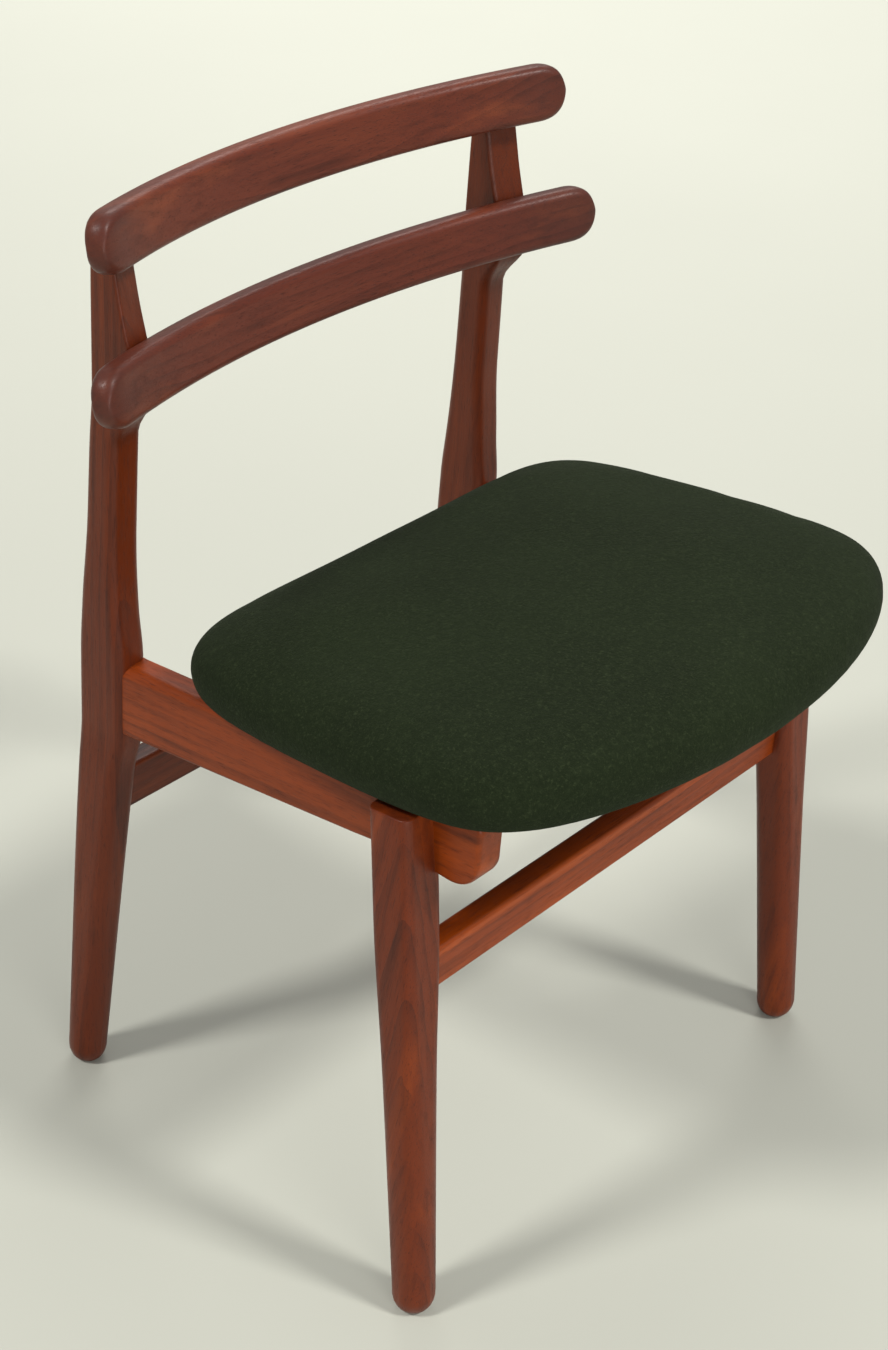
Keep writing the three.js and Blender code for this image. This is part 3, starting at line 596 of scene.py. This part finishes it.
def teak(name, colour, grain, turn=(0, 0, 0), shift=(0, 0, 0), dark=0.5, ends=False):
    """Oiled teak with its grain along one axis of the chair, or near to it."""
    wood = bpy.context.scene.chair_wood
    finish = Finish(name)
    where = finish.place(turn=turn, shift=shift)
    drawn = finish.node(
        "ShaderNodeMapping", inputs={"Vector": where, "Scale": ALONG[grain]}
    )
    axes = dict(zip("XYZ", finish.parts(where)))
    axes.pop(grain)
    a, b = axes.values()
    wander = finish.noise(drawn, 9, detail=3) - 0.5
    ripple = finish.noise(drawn, 60, detail=2) - 0.5
    # Growth rings, seen as long lines where a board is cut beside its heart
    reach = ((a + 0.13) ** 2 + (b * 0.8 + 0.09) ** 2) ** 0.5
    ring = (reach + wander * 0.05 + ripple * 0.004) / 0.0075
    late = ring.fraction() ** 2.5
    strength = finish.noise(drawn, 22, detail=1).within(0.3, 0.68)
    fibre = finish.noise(drawn, 900, detail=3, roughness=0.6)
    streak = finish.noise(drawn, 170, detail=3, roughness=0.6)
    pores = finish.noise(drawn, 1900, detail=1).within(0.56, 0.72)
    patches = finish.noise(finish.place(shift=shift), 7, detail=2)
    tone = late * strength * 0.8 + streak.within(0.46, 0.74) * 0.6 + (fibre - 0.5) * 0.6
    glow = finish.noise(drawn, 38, detail=3, roughness=0.6).within(0.5, 0.75)
    warm = tuple(k * c for k, c in zip((1.9, 2.1, 1.5), colour))
    pale = finish.mix(colour, warm, glow * 0.75 + patches.within(0.4, 0.8) * 0.25)
    brown = finish.mix(pale, wood.streak_colour, tone * dark)
    colour_map = finish.mix(brown, wood.streak_colour, pores * 0.45)
    if ends:
        across = abs(finish.parts(finish.place())[0])
        colour_map = finish.mix(
            colour_map, (0.052, 0.018, 0.014), across.within(0.13, 0.262) * 0.6
        )
    dents = finish.noise(finish.place(shift=shift), 55, detail=2)
    grain_bump = finish.bump(fibre * 0.6 + pores * -1.0 + late * 0.3, 0.00012, 0.55)
    return finish.set(
        Base_Color=colour_map,
        Roughness=wood.roughness + (streak - 0.5) * 0.25 + pores * 0.14,
        Specular_IOR_Level=0.25,
        Coat_Weight=0.04,
        Coat_Roughness=0.25,
        Normal=finish.bump(dents, 0.0004, 0.3, before=grain_bump),
    )


def wool(name):
    """Thick felted wool with fine flecks."""
    seat = bpy.context.scene.chair_seat
    finish = Finish(name)
    where = finish.place()
    fibres = finish.noise(
        finish.place(turn=(0.1, 0, 0.6), scale=(1, 0.3, 1)), 1500, detail=4, roughness=0.7
    )
    crossing = finish.noise(
        finish.place(turn=(0.1, 0, -0.5), scale=(0.3, 1, 1)), 1500, detail=4, roughness=0.7
    )
    nap = finish.noise(where, 330, detail=4, roughness=0.7)
    heather = finish.noise(where, 210, detail=3, roughness=0.75).within(0.44, 0.7)
    zones = finish.noise(where, 9, detail=3)
    flecks = finish.noise(where, 520, detail=2, roughness=0.6).within(0.56, 0.7)
    body = finish.mix(
        seat.wool_colour, tuple(1.3 * c for c in seat.wool_colour), zones.within(0.3, 0.75)
    )
    weave = fibres * 0.5 + crossing * 0.5
    lit = finish.mix(body, seat.fleck_colour, weave.within(0.48, 0.66) * 0.4)
    colour_map = finish.mix(lit, seat.fleck_colour, flecks * 0.5 + heather * 0.22)
    near = finish.bump(weave, 0.0008, 0.8)
    return finish.set(
        Base_Color=colour_map,
        Roughness=0.92 + (nap - 0.5) * 0.1,
        Specular_IOR_Level=0.1,
        Sheen_Weight=0.03,
        Sheen_Roughness=0.45,
        Sheen_Tint=(0.55, 0.65, 0.45, 1),
        Normal=finish.bump(nap, 0.0014, 0.8, before=near),
    )


def cambric(name):
    """Thin black bonded cloth with a plain weave."""
    finish = Finish(name)
    x, y, _ = finish.parts(finish.place())
    warp = (x * 5200).sine() * 0.5 + 0.5
    weft = (y * 5200).sine() * 0.5 + 0.5
    dust = finish.noise(finish.place(), 40, detail=4)
    cloth = warp * weft
    return finish.set(
        Base_Color=finish.mix(
            (0.012, 0.012, 0.013), (0.040, 0.040, 0.042), cloth * 0.6 + dust * 0.3
        ),
        Roughness=0.85 + dust * 0.1,
        Normal=finish.bump(cloth, 0.0002, 0.6),
    )


def steel(name):
    """Zinc-plated steel with fine scratches."""
    finish = Finish(name)
    scratches = finish.noise(finish.place(scale=(1, 1, 0.1)), 900, detail=3)
    return finish.set(
        Base_Color=finish.mix((0.42, 0.41, 0.38), (0.66, 0.65, 0.62), scratches),
        Metallic=1.0,
        Roughness=0.28 + scratches * 0.22,
        Normal=finish.bump(scratches, 0.00004, 0.4),
    )


def pale_wood(name, colour, plies=False):
    """Beech, or birch plywood with its layers showing."""
    finish = Finish(name)
    where = finish.place(scale=(1, 0.08, 1))
    grain = finish.noise(where, 260, detail=3)
    darker = tuple(0.6 * c for c in colour)
    colour_map = finish.mix(colour, darker, grain.within(0.4, 0.75) * 0.7)
    if plies:
        _, y, z = finish.parts(finish.place(turn=(SEAT_TILT, 0, 0)))
        layer = (z / 0.0028).fraction().within(0.45, 0.55)
        colour_map = finish.mix(colour_map, darker, layer * 0.4)
    return finish.set(
        Base_Color=colour_map,
        Roughness=0.6 + grain * 0.15,
        Normal=finish.bump(grain, 0.0002, 0.4),
    )


# ---------------------------------------------------------------- the pieces


class CHAIR_OT_back_posts(bpy.types.Operator):
    """Make the two back posts, from rounded foot to flat face behind the back rails"""

    bl_idname = "chair.back_posts"
    bl_label = "Back posts"

    def execute(self, context):
        # In millimetres: height, place across, front, back, width and corner radius. Front
        # and back are measured from the post's front at the side rail. Last comes the slant
        # of the front face: how far it comes forwards for each millimetre outwards.
        stations = [
            (*(size * MM for size in sizes), slant)
            for *sizes, slant in (
                (15, 225, 11.25, 41.75, 30.5, 15.25, 0),
                (284, 201.5, 5, 47, 28.3, 8.9, 0),
                (324, 198, 0, 47, 28, 8, 0),
                (383, 198, 0, 46.5, 28, 8, 0),
                (423, 198, 4.5, 44, 28, 8, 0),
                (491.6, 196, 9, 39.5, 28, 8, 0),
                (564.2, 194, 9, 37.5, 28, 8, 0),
                (600.2, 192, -6.9, 35.5, 25.5, 3, 0.285),
                (668.75, 192, 9.2, 35.5, 25.5, 3, 0.358),
                (723.3, 192, 22, 34.5, 25.5, 3, 0.358),
            )
        ]
        bottom, top = stations[0][0], stations[-1][0]
        rings = foot_rings(POST_FOOT_X, POST_FACE_Y + POST_FOOT_Y, POST_FOOT_RADIUS)
        ease, count = POST_TOP_EASE, 110
        levels = [(bottom + (top - ease - bottom) * i / count, 0) for i in range(count)]
        for step in range(5):
            a = math.pi / 2 * step / 4
            levels.append((top - ease * (1 - math.sin(a)), ease * (1 - math.cos(a))))
        for z, inset in levels:
            _, x, front, back, width, corner, slant = through(stations, z)
            half, deep = width / 2 - inset, (back - front) / 2 - inset
            middle = POST_FACE_Y + (back + front) / 2
            ring = []
            for a, b in rounded_section(half, deep, (corner,) * 4):
                share = (deep - b) / (2 * deep)
                ring.append(Vector((x + a, middle + b - a * slant * share, z)))
            rings.append(ring)
        left = rolled_bar(rings)
        smooth(left)
        right = copy_of(left, "post_right", flip=True)
        colour = tuple(context.scene.chair_wood.post_colour)
        for post, side, shift in (
            (left, "left", (0.7, 0.2, 0)),
            (right, "right", (0.1, 0.5, 0.3)),
        ):
            finish = teak(f"post_teak_{side}", colour, "Z", shift=shift)
            finish_piece(post, f"post_{side}", finish, "post_teak", f"back_post_{side}")
        return {"FINISHED"}


class CHAIR_OT_front_legs(bpy.types.Operator):
    """Make the two front legs, round at the foot and softly square at the top"""

    bl_idname = "chair.front_legs"
    bl_label = "Front legs"

    def execute(self, context):
        top_y = POST_FACE_Y - LEG_TO_POST
        top = seat_plane(top_y)
        # Height, half width and corner radius
        stations = [
            (FOOT_DOME, LEG_FOOT_RADIUS, LEG_FOOT_RADIUS),
            (top / 2, 17 * MM, 12 * MM),
            (top * 0.8, 18 * MM, 8 * MM),
            (top, 18 * MM, 8 * MM),
        ]

        def axis(z):
            fallen = 1 - z / top
            return LEG_TOP_X + LEG_SPLAY * fallen, top_y - LEG_RAKE * fallen

        rings = foot_rings(*axis(FOOT_DOME), LEG_FOOT_RADIUS)
        count, ease_steps = 60, 3
        for i in range(count + ease_steps + 1):
            z = FOOT_DOME + (top - FOOT_DOME) * min(i, count) / count
            a = max(0, i - count) * math.pi / 2 / ease_steps
            inset, drop = LEG_TOP_EASE * (1 - math.cos(a)), LEG_TOP_EASE * (1 - math.sin(a))
            _, half, corner = through(stations, z)
            x, y = axis(z)
            ring = []
            for a, b in rounded_section(half - inset, half - inset, (corner,) * 4):
                height = z if i < count else seat_plane(y + b) - drop
                ring.append(Vector((x + a, y + b, height)))
            rings.append(ring)
        left = rolled_bar(rings)
        smooth(left)
        right = copy_of(left, "leg_right", flip=True)
        warmer = (1.15, 1.1, 1)
        colour = tuple(c * k for c, k in zip(context.scene.chair_wood.post_colour, warmer))
        for leg, side, shift in (
            (left, "left", (0.3, 0.1, 0)),
            (right, "right", (0.9, 0.6, 0.2)),
        ):
            finish = teak(f"leg_teak_{side}", colour, "Z", turn=(-0.13, 0, 0), shift=shift)
            finish_piece(leg, f"leg_{side}", finish, "post_teak", f"front_leg_{side}")
        return {"FINISHED"}


class CHAIR_OT_side_rails(bpy.types.Operator):
    """Make the two side rails, with their rounded front stubs and sunk screws"""

    bl_idname = "chair.side_rails"
    bl_label = "Side rails"

    def execute(self, context):
        wood = context.scene.chair_wood
        leg_bottom = seat_plane(POST_FACE_Y - LEG_TO_POST) - RAIL_DEPTH_AT_LEG
        stub = -LEG_TO_POST - STUB_REACH
        corner, top_corner = STUB_CORNER, STUB_TOP_CORNER

        # Heights of the lower and upper edges, where y is measured from the posts' front
        def bottom(y):
            if y >= 0:
                return RAIL_BOTTOM
            if y > -RAIL_CURVE_FROM:
                return RAIL_BOTTOM - y / RAIL_CURVE_FROM * (leg_bottom - RAIL_RISE - RAIL_BOTTOM)
            if y > stub + corner:
                t = (-RAIL_CURVE_FROM - y) / (-RAIL_CURVE_FROM - stub - corner)
                return leg_bottom - RAIL_RISE * (1 - t) ** 2
            return leg_bottom + corner - math.sqrt(max(0, corner**2 - (stub + corner - y) ** 2))

        def top(y):
            height = SEAT_HEIGHT - min(0, y) * math.tan(SEAT_TILT)
            past = max(0, stub + top_corner - y) / top_corner
            return height - top_corner * (1 - math.sqrt(max(0, 1 - past**2)))

        straight = RAIL_TENON - stub - corner
        places = [RAIL_TENON - straight * i / 80 for i in range(80)]
        places += [stub + corner * (1 - math.sin(math.pi / 2 * i / 24)) for i in range(25)]
        middle = (RAIL_OUTER_X + RAIL_INNER_X) / 2
        half = (RAIL_OUTER_X - RAIL_INNER_X) / 2
        rings = []
        for y in places:
            near = max(0, 1 + y / (200 * MM))  # 1 at the post, and 0 from 200 mm on
            inward = max(0, stub + wood.edge - y) / wood.edge
            thick = half - wood.edge * (1 - math.sqrt(max(0, 1 - inward**2)))
            low, high = bottom(y), top(y)
            saddle = wood.edge + (wood.saddle_edge - wood.edge) * near
            section = rounded_section(
                thick, (high - low) / 2, (saddle, wood.edge, wood.edge, wood.edge)
            )
            rings.append(
                [Vector((middle + a, POST_FACE_Y + y, (low + high) / 2 + b)) for a, b in section]
            )
        left = rolled_bar(rings)
        for place in ("front", "rear"):
            low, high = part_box(f"seat_screw_{place}_left")
            radius = (high.x - low.x) / 2 + SCREW_CLEARANCE
            head = Vector(((low.x + high.x) / 2, low.y + radius, low.z + 3 * MM))
            up = Vector((0, math.sin(SEAT_TILT), math.cos(SEAT_TILT)))
            deselect()
            bpy.ops.mesh.primitive_cylinder_add(
                vertices=32,
                radius=radius,
                depth=70 * MM,
                location=head - up * 35 * MM,
                rotation=(-SEAT_TILT, 0, 0),
            )
            drill = bpy.context.object
            settle(drill)
            apply_modifier(left, "BOOLEAN", object=drill, operation="DIFFERENCE", solver="EXACT")
            bpy.data.objects.remove(drill)
        smooth(left)
        right = copy_of(left, "rail_right", flip=True)
        colour = tuple(wood.rail_colour)
        for rail, side, shift in (
            (left, "left", (0.5, 0.1, 0)),
            (right, "right", (0.2, 0, 0.4)),
        ):
            finish = teak(
                f"rail_teak_{side}", colour, "Y", turn=(SEAT_TILT, 0, 0), shift=shift, dark=0.62
            )
            finish_piece(rail, f"rail_{side}", finish, "rail_teak", f"side_rail_{side}")
        return {"FINISHED"}


class CHAIR_OT_stretchers(bpy.types.Operator):
    """Make the front and rear stretchers"""

    bl_idname = "chair.stretchers"
    bl_label = "Stretchers"

    def execute(self, context):
        wood = context.scene.chair_wood
        for name, slot, colour, shift, dark in (
            ("front_stretcher", "rail_teak", wood.rail_colour, (0, 0.3, 0.2), 0.6),
            ("rear_stretcher", "post_teak", wood.post_colour, (0, 0.8, 0.5), 0.85),
        ):
            low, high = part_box(name)
            deselect()
            bpy.ops.mesh.primitive_cube_add(
                size=1,
                location=(low + high) / 2,
                scale=(high.x - low.x - 8 * MM, high.y - low.y, high.z - low.z),
            )
            bar = bpy.context.object
            settle(bar)
            edit(bar)
            bpy.ops.mesh.bevel(offset=3.2 * MM, segments=5, profile=0.5, affect="EDGES")
            leave()
            smooth(bar)
            finish = teak(f"{name}_teak", tuple(colour), "X", shift=shift, dark=dark)
            finish_piece(bar, f"{name}_bar", finish, slot, name)
        return {"FINISHED"}


class CHAIR_OT_back_rails(bpy.types.Operator):
    """Make the two bowed back rails with their round ends"""

    bl_idname = "chair.back_rails"
    bl_label = "Back rails"

    def execute(self, context):
        wood = context.scene.chair_wood
        lean, thick = BACK_RAIL_LEAN, BACK_RAIL_THICKNESS
        up = Vector((0, math.sin(lean), math.cos(lean)))

        def outward(a):
            return Vector(
                (math.sin(a), math.cos(a) * math.cos(lean), -math.cos(a) * math.sin(lean))
            )

        for name, height, half_length, radius, shift in (
            ("lower", LOWER_RAIL_HEIGHT, 254.5 * MM, 690 * MM, (0.3, 0.1, 0.6)),
            ("top", 716.5 * MM, 235 * MM, 560 * MM, (0.8, 0.3, 0.1)),
        ):
            to_post = outward(math.asin(POST_X_AT_BACK_RAILS / (radius + thick / 2)))
            face = POST_FACE_Y - 1 * MM + (height - LOWER_RAIL_HEIGHT) * POST_SLOPE
            at_post = Vector((radius * to_post.x, face - thick / 2 * to_post.y, height))
            centre = at_post - to_post * radius
            end, round_end = math.asin(half_length / radius), BACK_RAIL_END_ROUND / radius
            rings, count = [], 150
            for i in range(count + 1):
                share = -math.cos(math.pi * i / count)
                share = math.copysign(abs(share) ** 0.8, share)
                angle = share * (end - 0.0003)
                into = max(0, abs(angle) - (end - round_end)) / round_end
                power = BACK_RAIL_END_SQUARENESS
                fullness = (1 - into**power) ** (1 / power)
                share_left = BACK_RAIL_END_SHARE + (1 - BACK_RAIL_END_SHARE) * fullness
                section = rounded_section(
                    thick / 2 * share_left, BACK_RAIL_HALF_DEPTH * fullness, (wood.back_edge,) * 4
                )
                out = outward(angle)
                spine = centre + out * radius
                rings.append([spine + out * a + up * b for a, b in section])
            rail = rolled_bar(rings)
            smooth(rail)
            finish = teak(
                f"{name}_rail_teak", tuple(wood.back_colour), "X", shift=shift, ends=True
            )
            finish_piece(rail, f"{name}_rail", finish, "back_teak", f"{name}_back_rail")
        return {"FINISHED"}


class CHAIR_OT_fixings(bpy.types.Operator):
    """Give the dowels, the screws and the seat board their finishes"""

    bl_idname = "chair.fixings"
    bl_label = "Fixings and seat board"

    def execute(self, context):
        beech = pale_wood("beech_dowel", (0.50, 0.32, 0.15))
        board = pale_wood("birch_ply", (0.55, 0.38, 0.20), plies=True)
        plated = steel("plated_steel")
        for name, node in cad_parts.items():
            if "dowel" in name:
                finish = beech
            elif "screw" in name:
                finish = plated
            elif name == "seat_board":
                finish = board
            else:
                continue
            node.data.materials.clear()
            node.data.materials.append(finish)
        return {"FINISHED"}


def seat_outline(count):
    """The pad's widest line in the seat's own frame, with evenly spaced points."""
    seat = bpy.context.scene.chair_seat
    middle = -seat.back_gap - seat.depth / 2
    mean = (seat.front_width + seat.back_width) / 4
    taper = (seat.front_width - seat.back_width) / 4

    def squared(value):
        return math.copysign(abs(value) ** (2 / seat.squareness), value)

    fine, points = 1440, []
    for i in range(fine):
        a = 2 * math.pi * i / fine - math.pi / 2
        across, along = squared(math.cos(a)), squared(math.sin(a))
        half = mean - taper * along + SIDE_BULGE * (1 - along**2)
        setback = FRONT_BOW * across**2 * max(0, -along)
        points.append(Vector((across * half, middle + along * seat.depth / 2 + setback, 0)))
    steps = [(points[(i + 1) % fine] - p).length for i, p in enumerate(points)]
    spacing, gone, even = sum(steps) / count, 0, []
    for p, q, step in zip(points, points[1:] + points[:1], steps):
        while len(even) < count and len(even) * spacing <= gone + step:
            even.append(p.lerp(q, (len(even) * spacing - gone) / max(step, 1e-9)))
        gone += step
    return even


def seat_stack(levels, count=120):
    """A closed form with the seat's outline: an inset and a height for each level."""
    seat = bpy.context.scene.chair_seat
    middle = -seat.back_gap - seat.depth / 2

    def share(inset):
        return 1 - 2 * inset / seat.front_width, 1 - 2 * inset / seat.depth

    deselect()
    bpy.ops.mesh.primitive_circle_add(vertices=count, radius=1, fill_type="NGON")
    form = bpy.context.object
    sx, sy = share(levels[0][0])
    for vertex, p in zip(form.data.vertices, seat_outline(count)):
        vertex.co = (p.x * sx, middle + (p.y - middle) * sy, levels[0][1])
    edit(form)
    for (before, low), (inset, height) in zip(levels, levels[1:]):
        rise = (0, 0, height - low)
        bpy.ops.mesh.extrude_region_move(TRANSFORM_OT_translate={"value": rise})
        (ax, ay), (bx, by) = share(before), share(inset)
        bpy.ops.transform.resize(
            value=(bx / ax, by / ay, 1), center_override=(0, middle, height)
        )
    bpy.ops.mesh.select_all(action="SELECT")
    bpy.ops.mesh.normals_make_consistent(inside=False)
    leave()
    return form


def tilt_into_place(form):
    """Moves a form from the seat's own frame onto the rails."""
    form.data.transform(
        Matrix.Translation((0, POST_FACE_Y, SEAT_HEIGHT)) @ Matrix.Rotation(-SEAT_TILT, 4, "X")
    )
    form.data.update()


class CHAIR_OT_seat_pad(bpy.types.Operator):
    """Make the padded seat: a crowned form, swollen by its padding, in felted wool"""

    bl_idname = "chair.seat_pad"
    bl_label = "Seat pad"

    def execute(self, context):
        seat = context.scene.chair_seat
        skin, floor, widest = PAD_SKIN, PAD_FLOOR, PAD_WIDEST
        levels = [(PAD_UNDERCUT + skin, floor)]
        for i in range(1, 6):
            a = math.pi / 2 * i / 5
            inset = PAD_UNDERCUT * (1 - math.sin(a)) + skin
            levels.append((inset, floor + (widest - floor) * (1 - math.cos(a))))
        for i in range(1, 9):
            a = math.pi / 2 * i / 8 * 0.92
            inset = PAD_SHOULDER * (1 - math.cos(a)) + skin
            levels.append((inset, widest + (PAD_EDGE_TOP - widest - skin) * math.sin(a)))
        reach = seat.depth / 2 - PAD_SHOULDER
        for share in (0.12, 0.25, 0.4, 0.6, 0.8, 0.93):
            crown = PAD_CROWN * (1 - (1 - share) ** 2)
            levels.append((PAD_SHOULDER + reach * share, PAD_EDGE_TOP - skin + crown))
        pad = seat_stack(levels)
        apply_modifier(pad, "REMESH", mode="VOXEL", voxel_size=4.5 * MM)
        apply_modifier(pad, "SMOOTH", factor=0.5, iterations=8)
        self.inflate(context, pad, seat.swell, floor)
        apply_modifier(pad, "SMOOTH", factor=0.5, iterations=16)
        apply_modifier(pad, "SUBSURF", levels=1, render_levels=1)
        tilt_into_place(pad)
        take(pad)
        bpy.ops.object.shade_smooth()
        finish = wool("felted_wool")
        finish_piece(pad, "seat_pad", finish, "green_wool", "seat_cover", "seat_foam")
        return {"FINISHED"}

    def inflate(self, context, pad, most, floor):
        """Lets air pressure swell the pad while its underside stays on the board."""
        start = [v.co.copy() for v in pad.data.vertices]
        held = pad.vertex_groups.new(name="held")
        low = [v.index for v in pad.data.vertices if v.co.z < floor + 5 * MM]
        held.add(low, 1.0, "REPLACE")
        take(pad)
        cloth = pad.modifiers.new("Swell", "CLOTH")
        cloth.settings.quality = 5
        cloth.settings.tension_stiffness = cloth.settings.compression_stiffness = 2
        cloth.settings.shear_stiffness = 1
        cloth.settings.bending_stiffness = 2
        cloth.settings.use_pressure = True
        cloth.settings.uniform_pressure_force = 1
        cloth.settings.vertex_group_mass = "held"
        cloth.settings.effector_weights.gravity = 0
        cloth.collision_settings.use_collision = False
        last = 20
        cloth.point_cache.frame_start, cloth.point_cache.frame_end = 1, last
        for number in range(1, last + 1):
            context.scene.frame_set(number)
        bpy.ops.object.modifier_apply(modifier="Swell")
        context.scene.frame_set(1)
        for vertex, before in zip(pad.data.vertices, start):
            move = vertex.co - before
            if move.length > most:
                vertex.co = before + move.normalized() * most
        pad.vertex_groups.clear()


class CHAIR_OT_underside(bpy.types.Operator):
    """Make the stapled dust cover under the seat"""

    bl_idname = "chair.underside"
    bl_label = "Dust cover and staples"

    def execute(self, context):
        margin = DUST_MARGIN
        cover = seat_stack(
            [(margin, 0.3 * MM), (margin - 0.4 * MM, 0.7 * MM), (margin, 1.1 * MM)], count=160
        )
        edit(cover, "DESELECT")
        leave()
        for face in cover.data.polygons:
            face.select = face.normal.z < -0.9
        take(cover)
        bpy.ops.object.mode_set(mode="EDIT")
        bpy.ops.mesh.select_mode(type="FACE")
        bpy.ops.mesh.inset(thickness=12 * MM)
        bpy.ops.mesh.inset(thickness=0.6 * MM, depth=-0.25 * MM)
        leave()
        tilt_into_place(cover)
        smooth(cover, 30)
        finish = cambric("black_cambric")
        finish_piece(cover, "dust_cover", finish, "cambric", "seat_dust_cover")
        self.staples(context)
        return {"FINISHED"}

    def staples(self, context):
        seat = context.scene.chair_seat
        middle = -seat.back_gap - seat.depth / 2
        sx = 1 - 2 * STAPLE_MARGIN / seat.front_width
        sy = 1 - 2 * STAPLE_MARGIN / seat.depth
        deselect()
        bpy.ops.mesh.primitive_cube_add(size=1, scale=(9 * MM, 1.1 * MM, 0.4 * MM))
        first = bpy.context.object
        settle(first)
        edit(first)
        bpy.ops.mesh.bevel(offset=0.15 * MM, segments=2, affect="EDGES")
        leave()
        outline = seat_outline(30)
        made = []
        for i, p in enumerate(outline):
            q = outline[(i + 1) % len(outline)]
            wire = copy_of(first, f"staple_{i}")
            wire.location = (p.x * sx, middle + (p.y - middle) * sy, 0.08 * MM)
            wire.rotation_euler.z = math.atan2((q.y - p.y) * sy, (q.x - p.x) * sx)
            settle(wire)
            made.append(wire)
        bpy.data.objects.remove(first)
        deselect()
        for wire in made:
            wire.select_set(True)
        context.view_layer.objects.active = made[0]
        bpy.ops.object.join()
        staples = bpy.context.object
        tilt_into_place(staples)
        smooth(staples)
        finish_piece(staples, "staples", steel("staple_steel"), "steel")


class CHAIR_OT_stage(bpy.types.Operator):
    """Make the floor, the soft light and the camera"""

    bl_idname = "chair.stage"
    bl_label = "Floor, light and camera"

    def execute(self, context):
        stage = context.scene.chair_stage
        deselect()
        bpy.ops.mesh.primitive_plane_add(size=40, location=(0, 0, 0))
        floor = bpy.context.object
        floor.name = "floor"
        finish = Finish("plain_floor")
        cloud = finish.noise(finish.place(), 1.5, detail=3)
        floor.data.materials.append(
            finish.set(
                Base_Color=finish.mix(
                    tuple(stage.floor_colour), tuple(0.95 * c for c in stage.floor_colour), cloud
                ),
                Roughness=0.62,
                Specular_IOR_Level=0.3,
            )
        )
        for name, kind, place, target, size, power in (
            ("light_left", "SUN", (-1.63, 0.74, 2.6), (0, 0, 0.4), 0.18, stage.key_strength),
            ("light_right", "SUN", (0.55, -1.62, 2.6), (0, 0, 0.4), 0.18, stage.key_strength),
            ("light_far", "AREA", (2.3, 2.1, 2.8), (2.6, 2.4, 0), 2.6, stage.fill_power * 3),
            ("light_front", "AREA", (-1.2, -2.3, 1.0), (0, 0, 0.4), 1.6, stage.fill_power),
        ):
            data = bpy.data.lights.new(name, kind)
            data.energy = power
            data.color = (1.0, 0.97, 0.93)
            if kind == "SUN":
                data.angle = size
            else:
                data.shape, data.size = "DISK", size
            lamp = bpy.data.objects.new(name, data)
            context.scene.collection.objects.link(lamp)
            lamp.location = place
            aim = Vector(target) - Vector(place)
            lamp.rotation_mode = "QUATERNION"
            lamp.rotation_quaternion = aim.to_track_quat("-Z", "Y")
        world = bpy.data.worlds.new("studio")
        context.scene.world = world
        world.use_nodes = True
        background = world.node_tree.nodes["Background"]
        background.inputs["Color"].default_value = (1.0, 1.0, 0.99, 1)
        background.inputs["Strength"].default_value = stage.sky
        context.scene.view_settings.view_transform = "Standard"
        self.camera(context, stage)
        return {"FINISHED"}

    def camera(self, context, stage):
        turn, tilt, roll = stage.camera_turn
        right = Vector((math.cos(turn), math.sin(turn), 0))
        ahead = Vector(
            (
                -math.sin(turn) * math.cos(tilt),
                math.cos(turn) * math.cos(tilt),
                -math.sin(tilt),
            )
        )
        up = right.cross(ahead)
        right, up = (
            right * math.cos(roll) + up * math.sin(roll),
            up * math.cos(roll) - right * math.sin(roll),
        )
        data = bpy.data.cameras.new("camera")
        data.lens, data.sensor_width, data.sensor_fit = stage.lens, 36, "AUTO"
        data.clip_start, data.clip_end = 0.05, 100
        camera = bpy.data.objects.new("camera", data)
        context.scene.collection.objects.link(camera)
        axes = Matrix((right, up, -ahead)).transposed()
        camera.matrix_world = Matrix.Translation(stage.camera_place) @ axes.to_4x4()
        context.scene.camera = camera


# ---------------------------------------------------------------- panel and registration

OPERATORS = (
    CHAIR_OT_back_posts,
    CHAIR_OT_front_legs,
    CHAIR_OT_side_rails,
    CHAIR_OT_stretchers,
    CHAIR_OT_back_rails,
    CHAIR_OT_fixings,
    CHAIR_OT_seat_pad,
    CHAIR_OT_underside,
    CHAIR_OT_stage,
)
GROUPS = {"chair_wood": ChairWood, "chair_seat": ChairSeat, "chair_stage": ChairStage}


class CHAIR_PT_pieces(bpy.types.Panel):
    """Lists the chair's pieces and their sizes and colours"""

    bl_idname = "CHAIR_PT_pieces"
    bl_label = "Teak dining chair"
    bl_space_type = "VIEW_3D"
    bl_region_type = "UI"
    bl_category = "Chair"

    def draw(self, context):
        for operator in OPERATORS:
            self.layout.operator(operator.bl_idname)
        for key, group in GROUPS.items():
            box = self.layout.box()
            for name in group.__annotations__:
                box.prop(getattr(context.scene, key), name)


def register():
    for item in (*GROUPS.values(), *OPERATORS, CHAIR_PT_pieces):
        bpy.utils.register_class(item)
    for key, group in GROUPS.items():
        setattr(bpy.types.Scene, key, bpy.props.PointerProperty(type=group))


def unregister():
    for key in GROUPS:
        delattr(bpy.types.Scene, key)
    for item in (CHAIR_PT_pieces, *reversed(OPERATORS), *GROUPS.values()):
        bpy.utils.unregister_class(item)


def main():
    register()
    for operator in OPERATORS:
        group, name = operator.bl_idname.split(".")
        getattr(getattr(bpy.ops, group), name)()
    deselect()


if __name__ == "__main__":
    main()
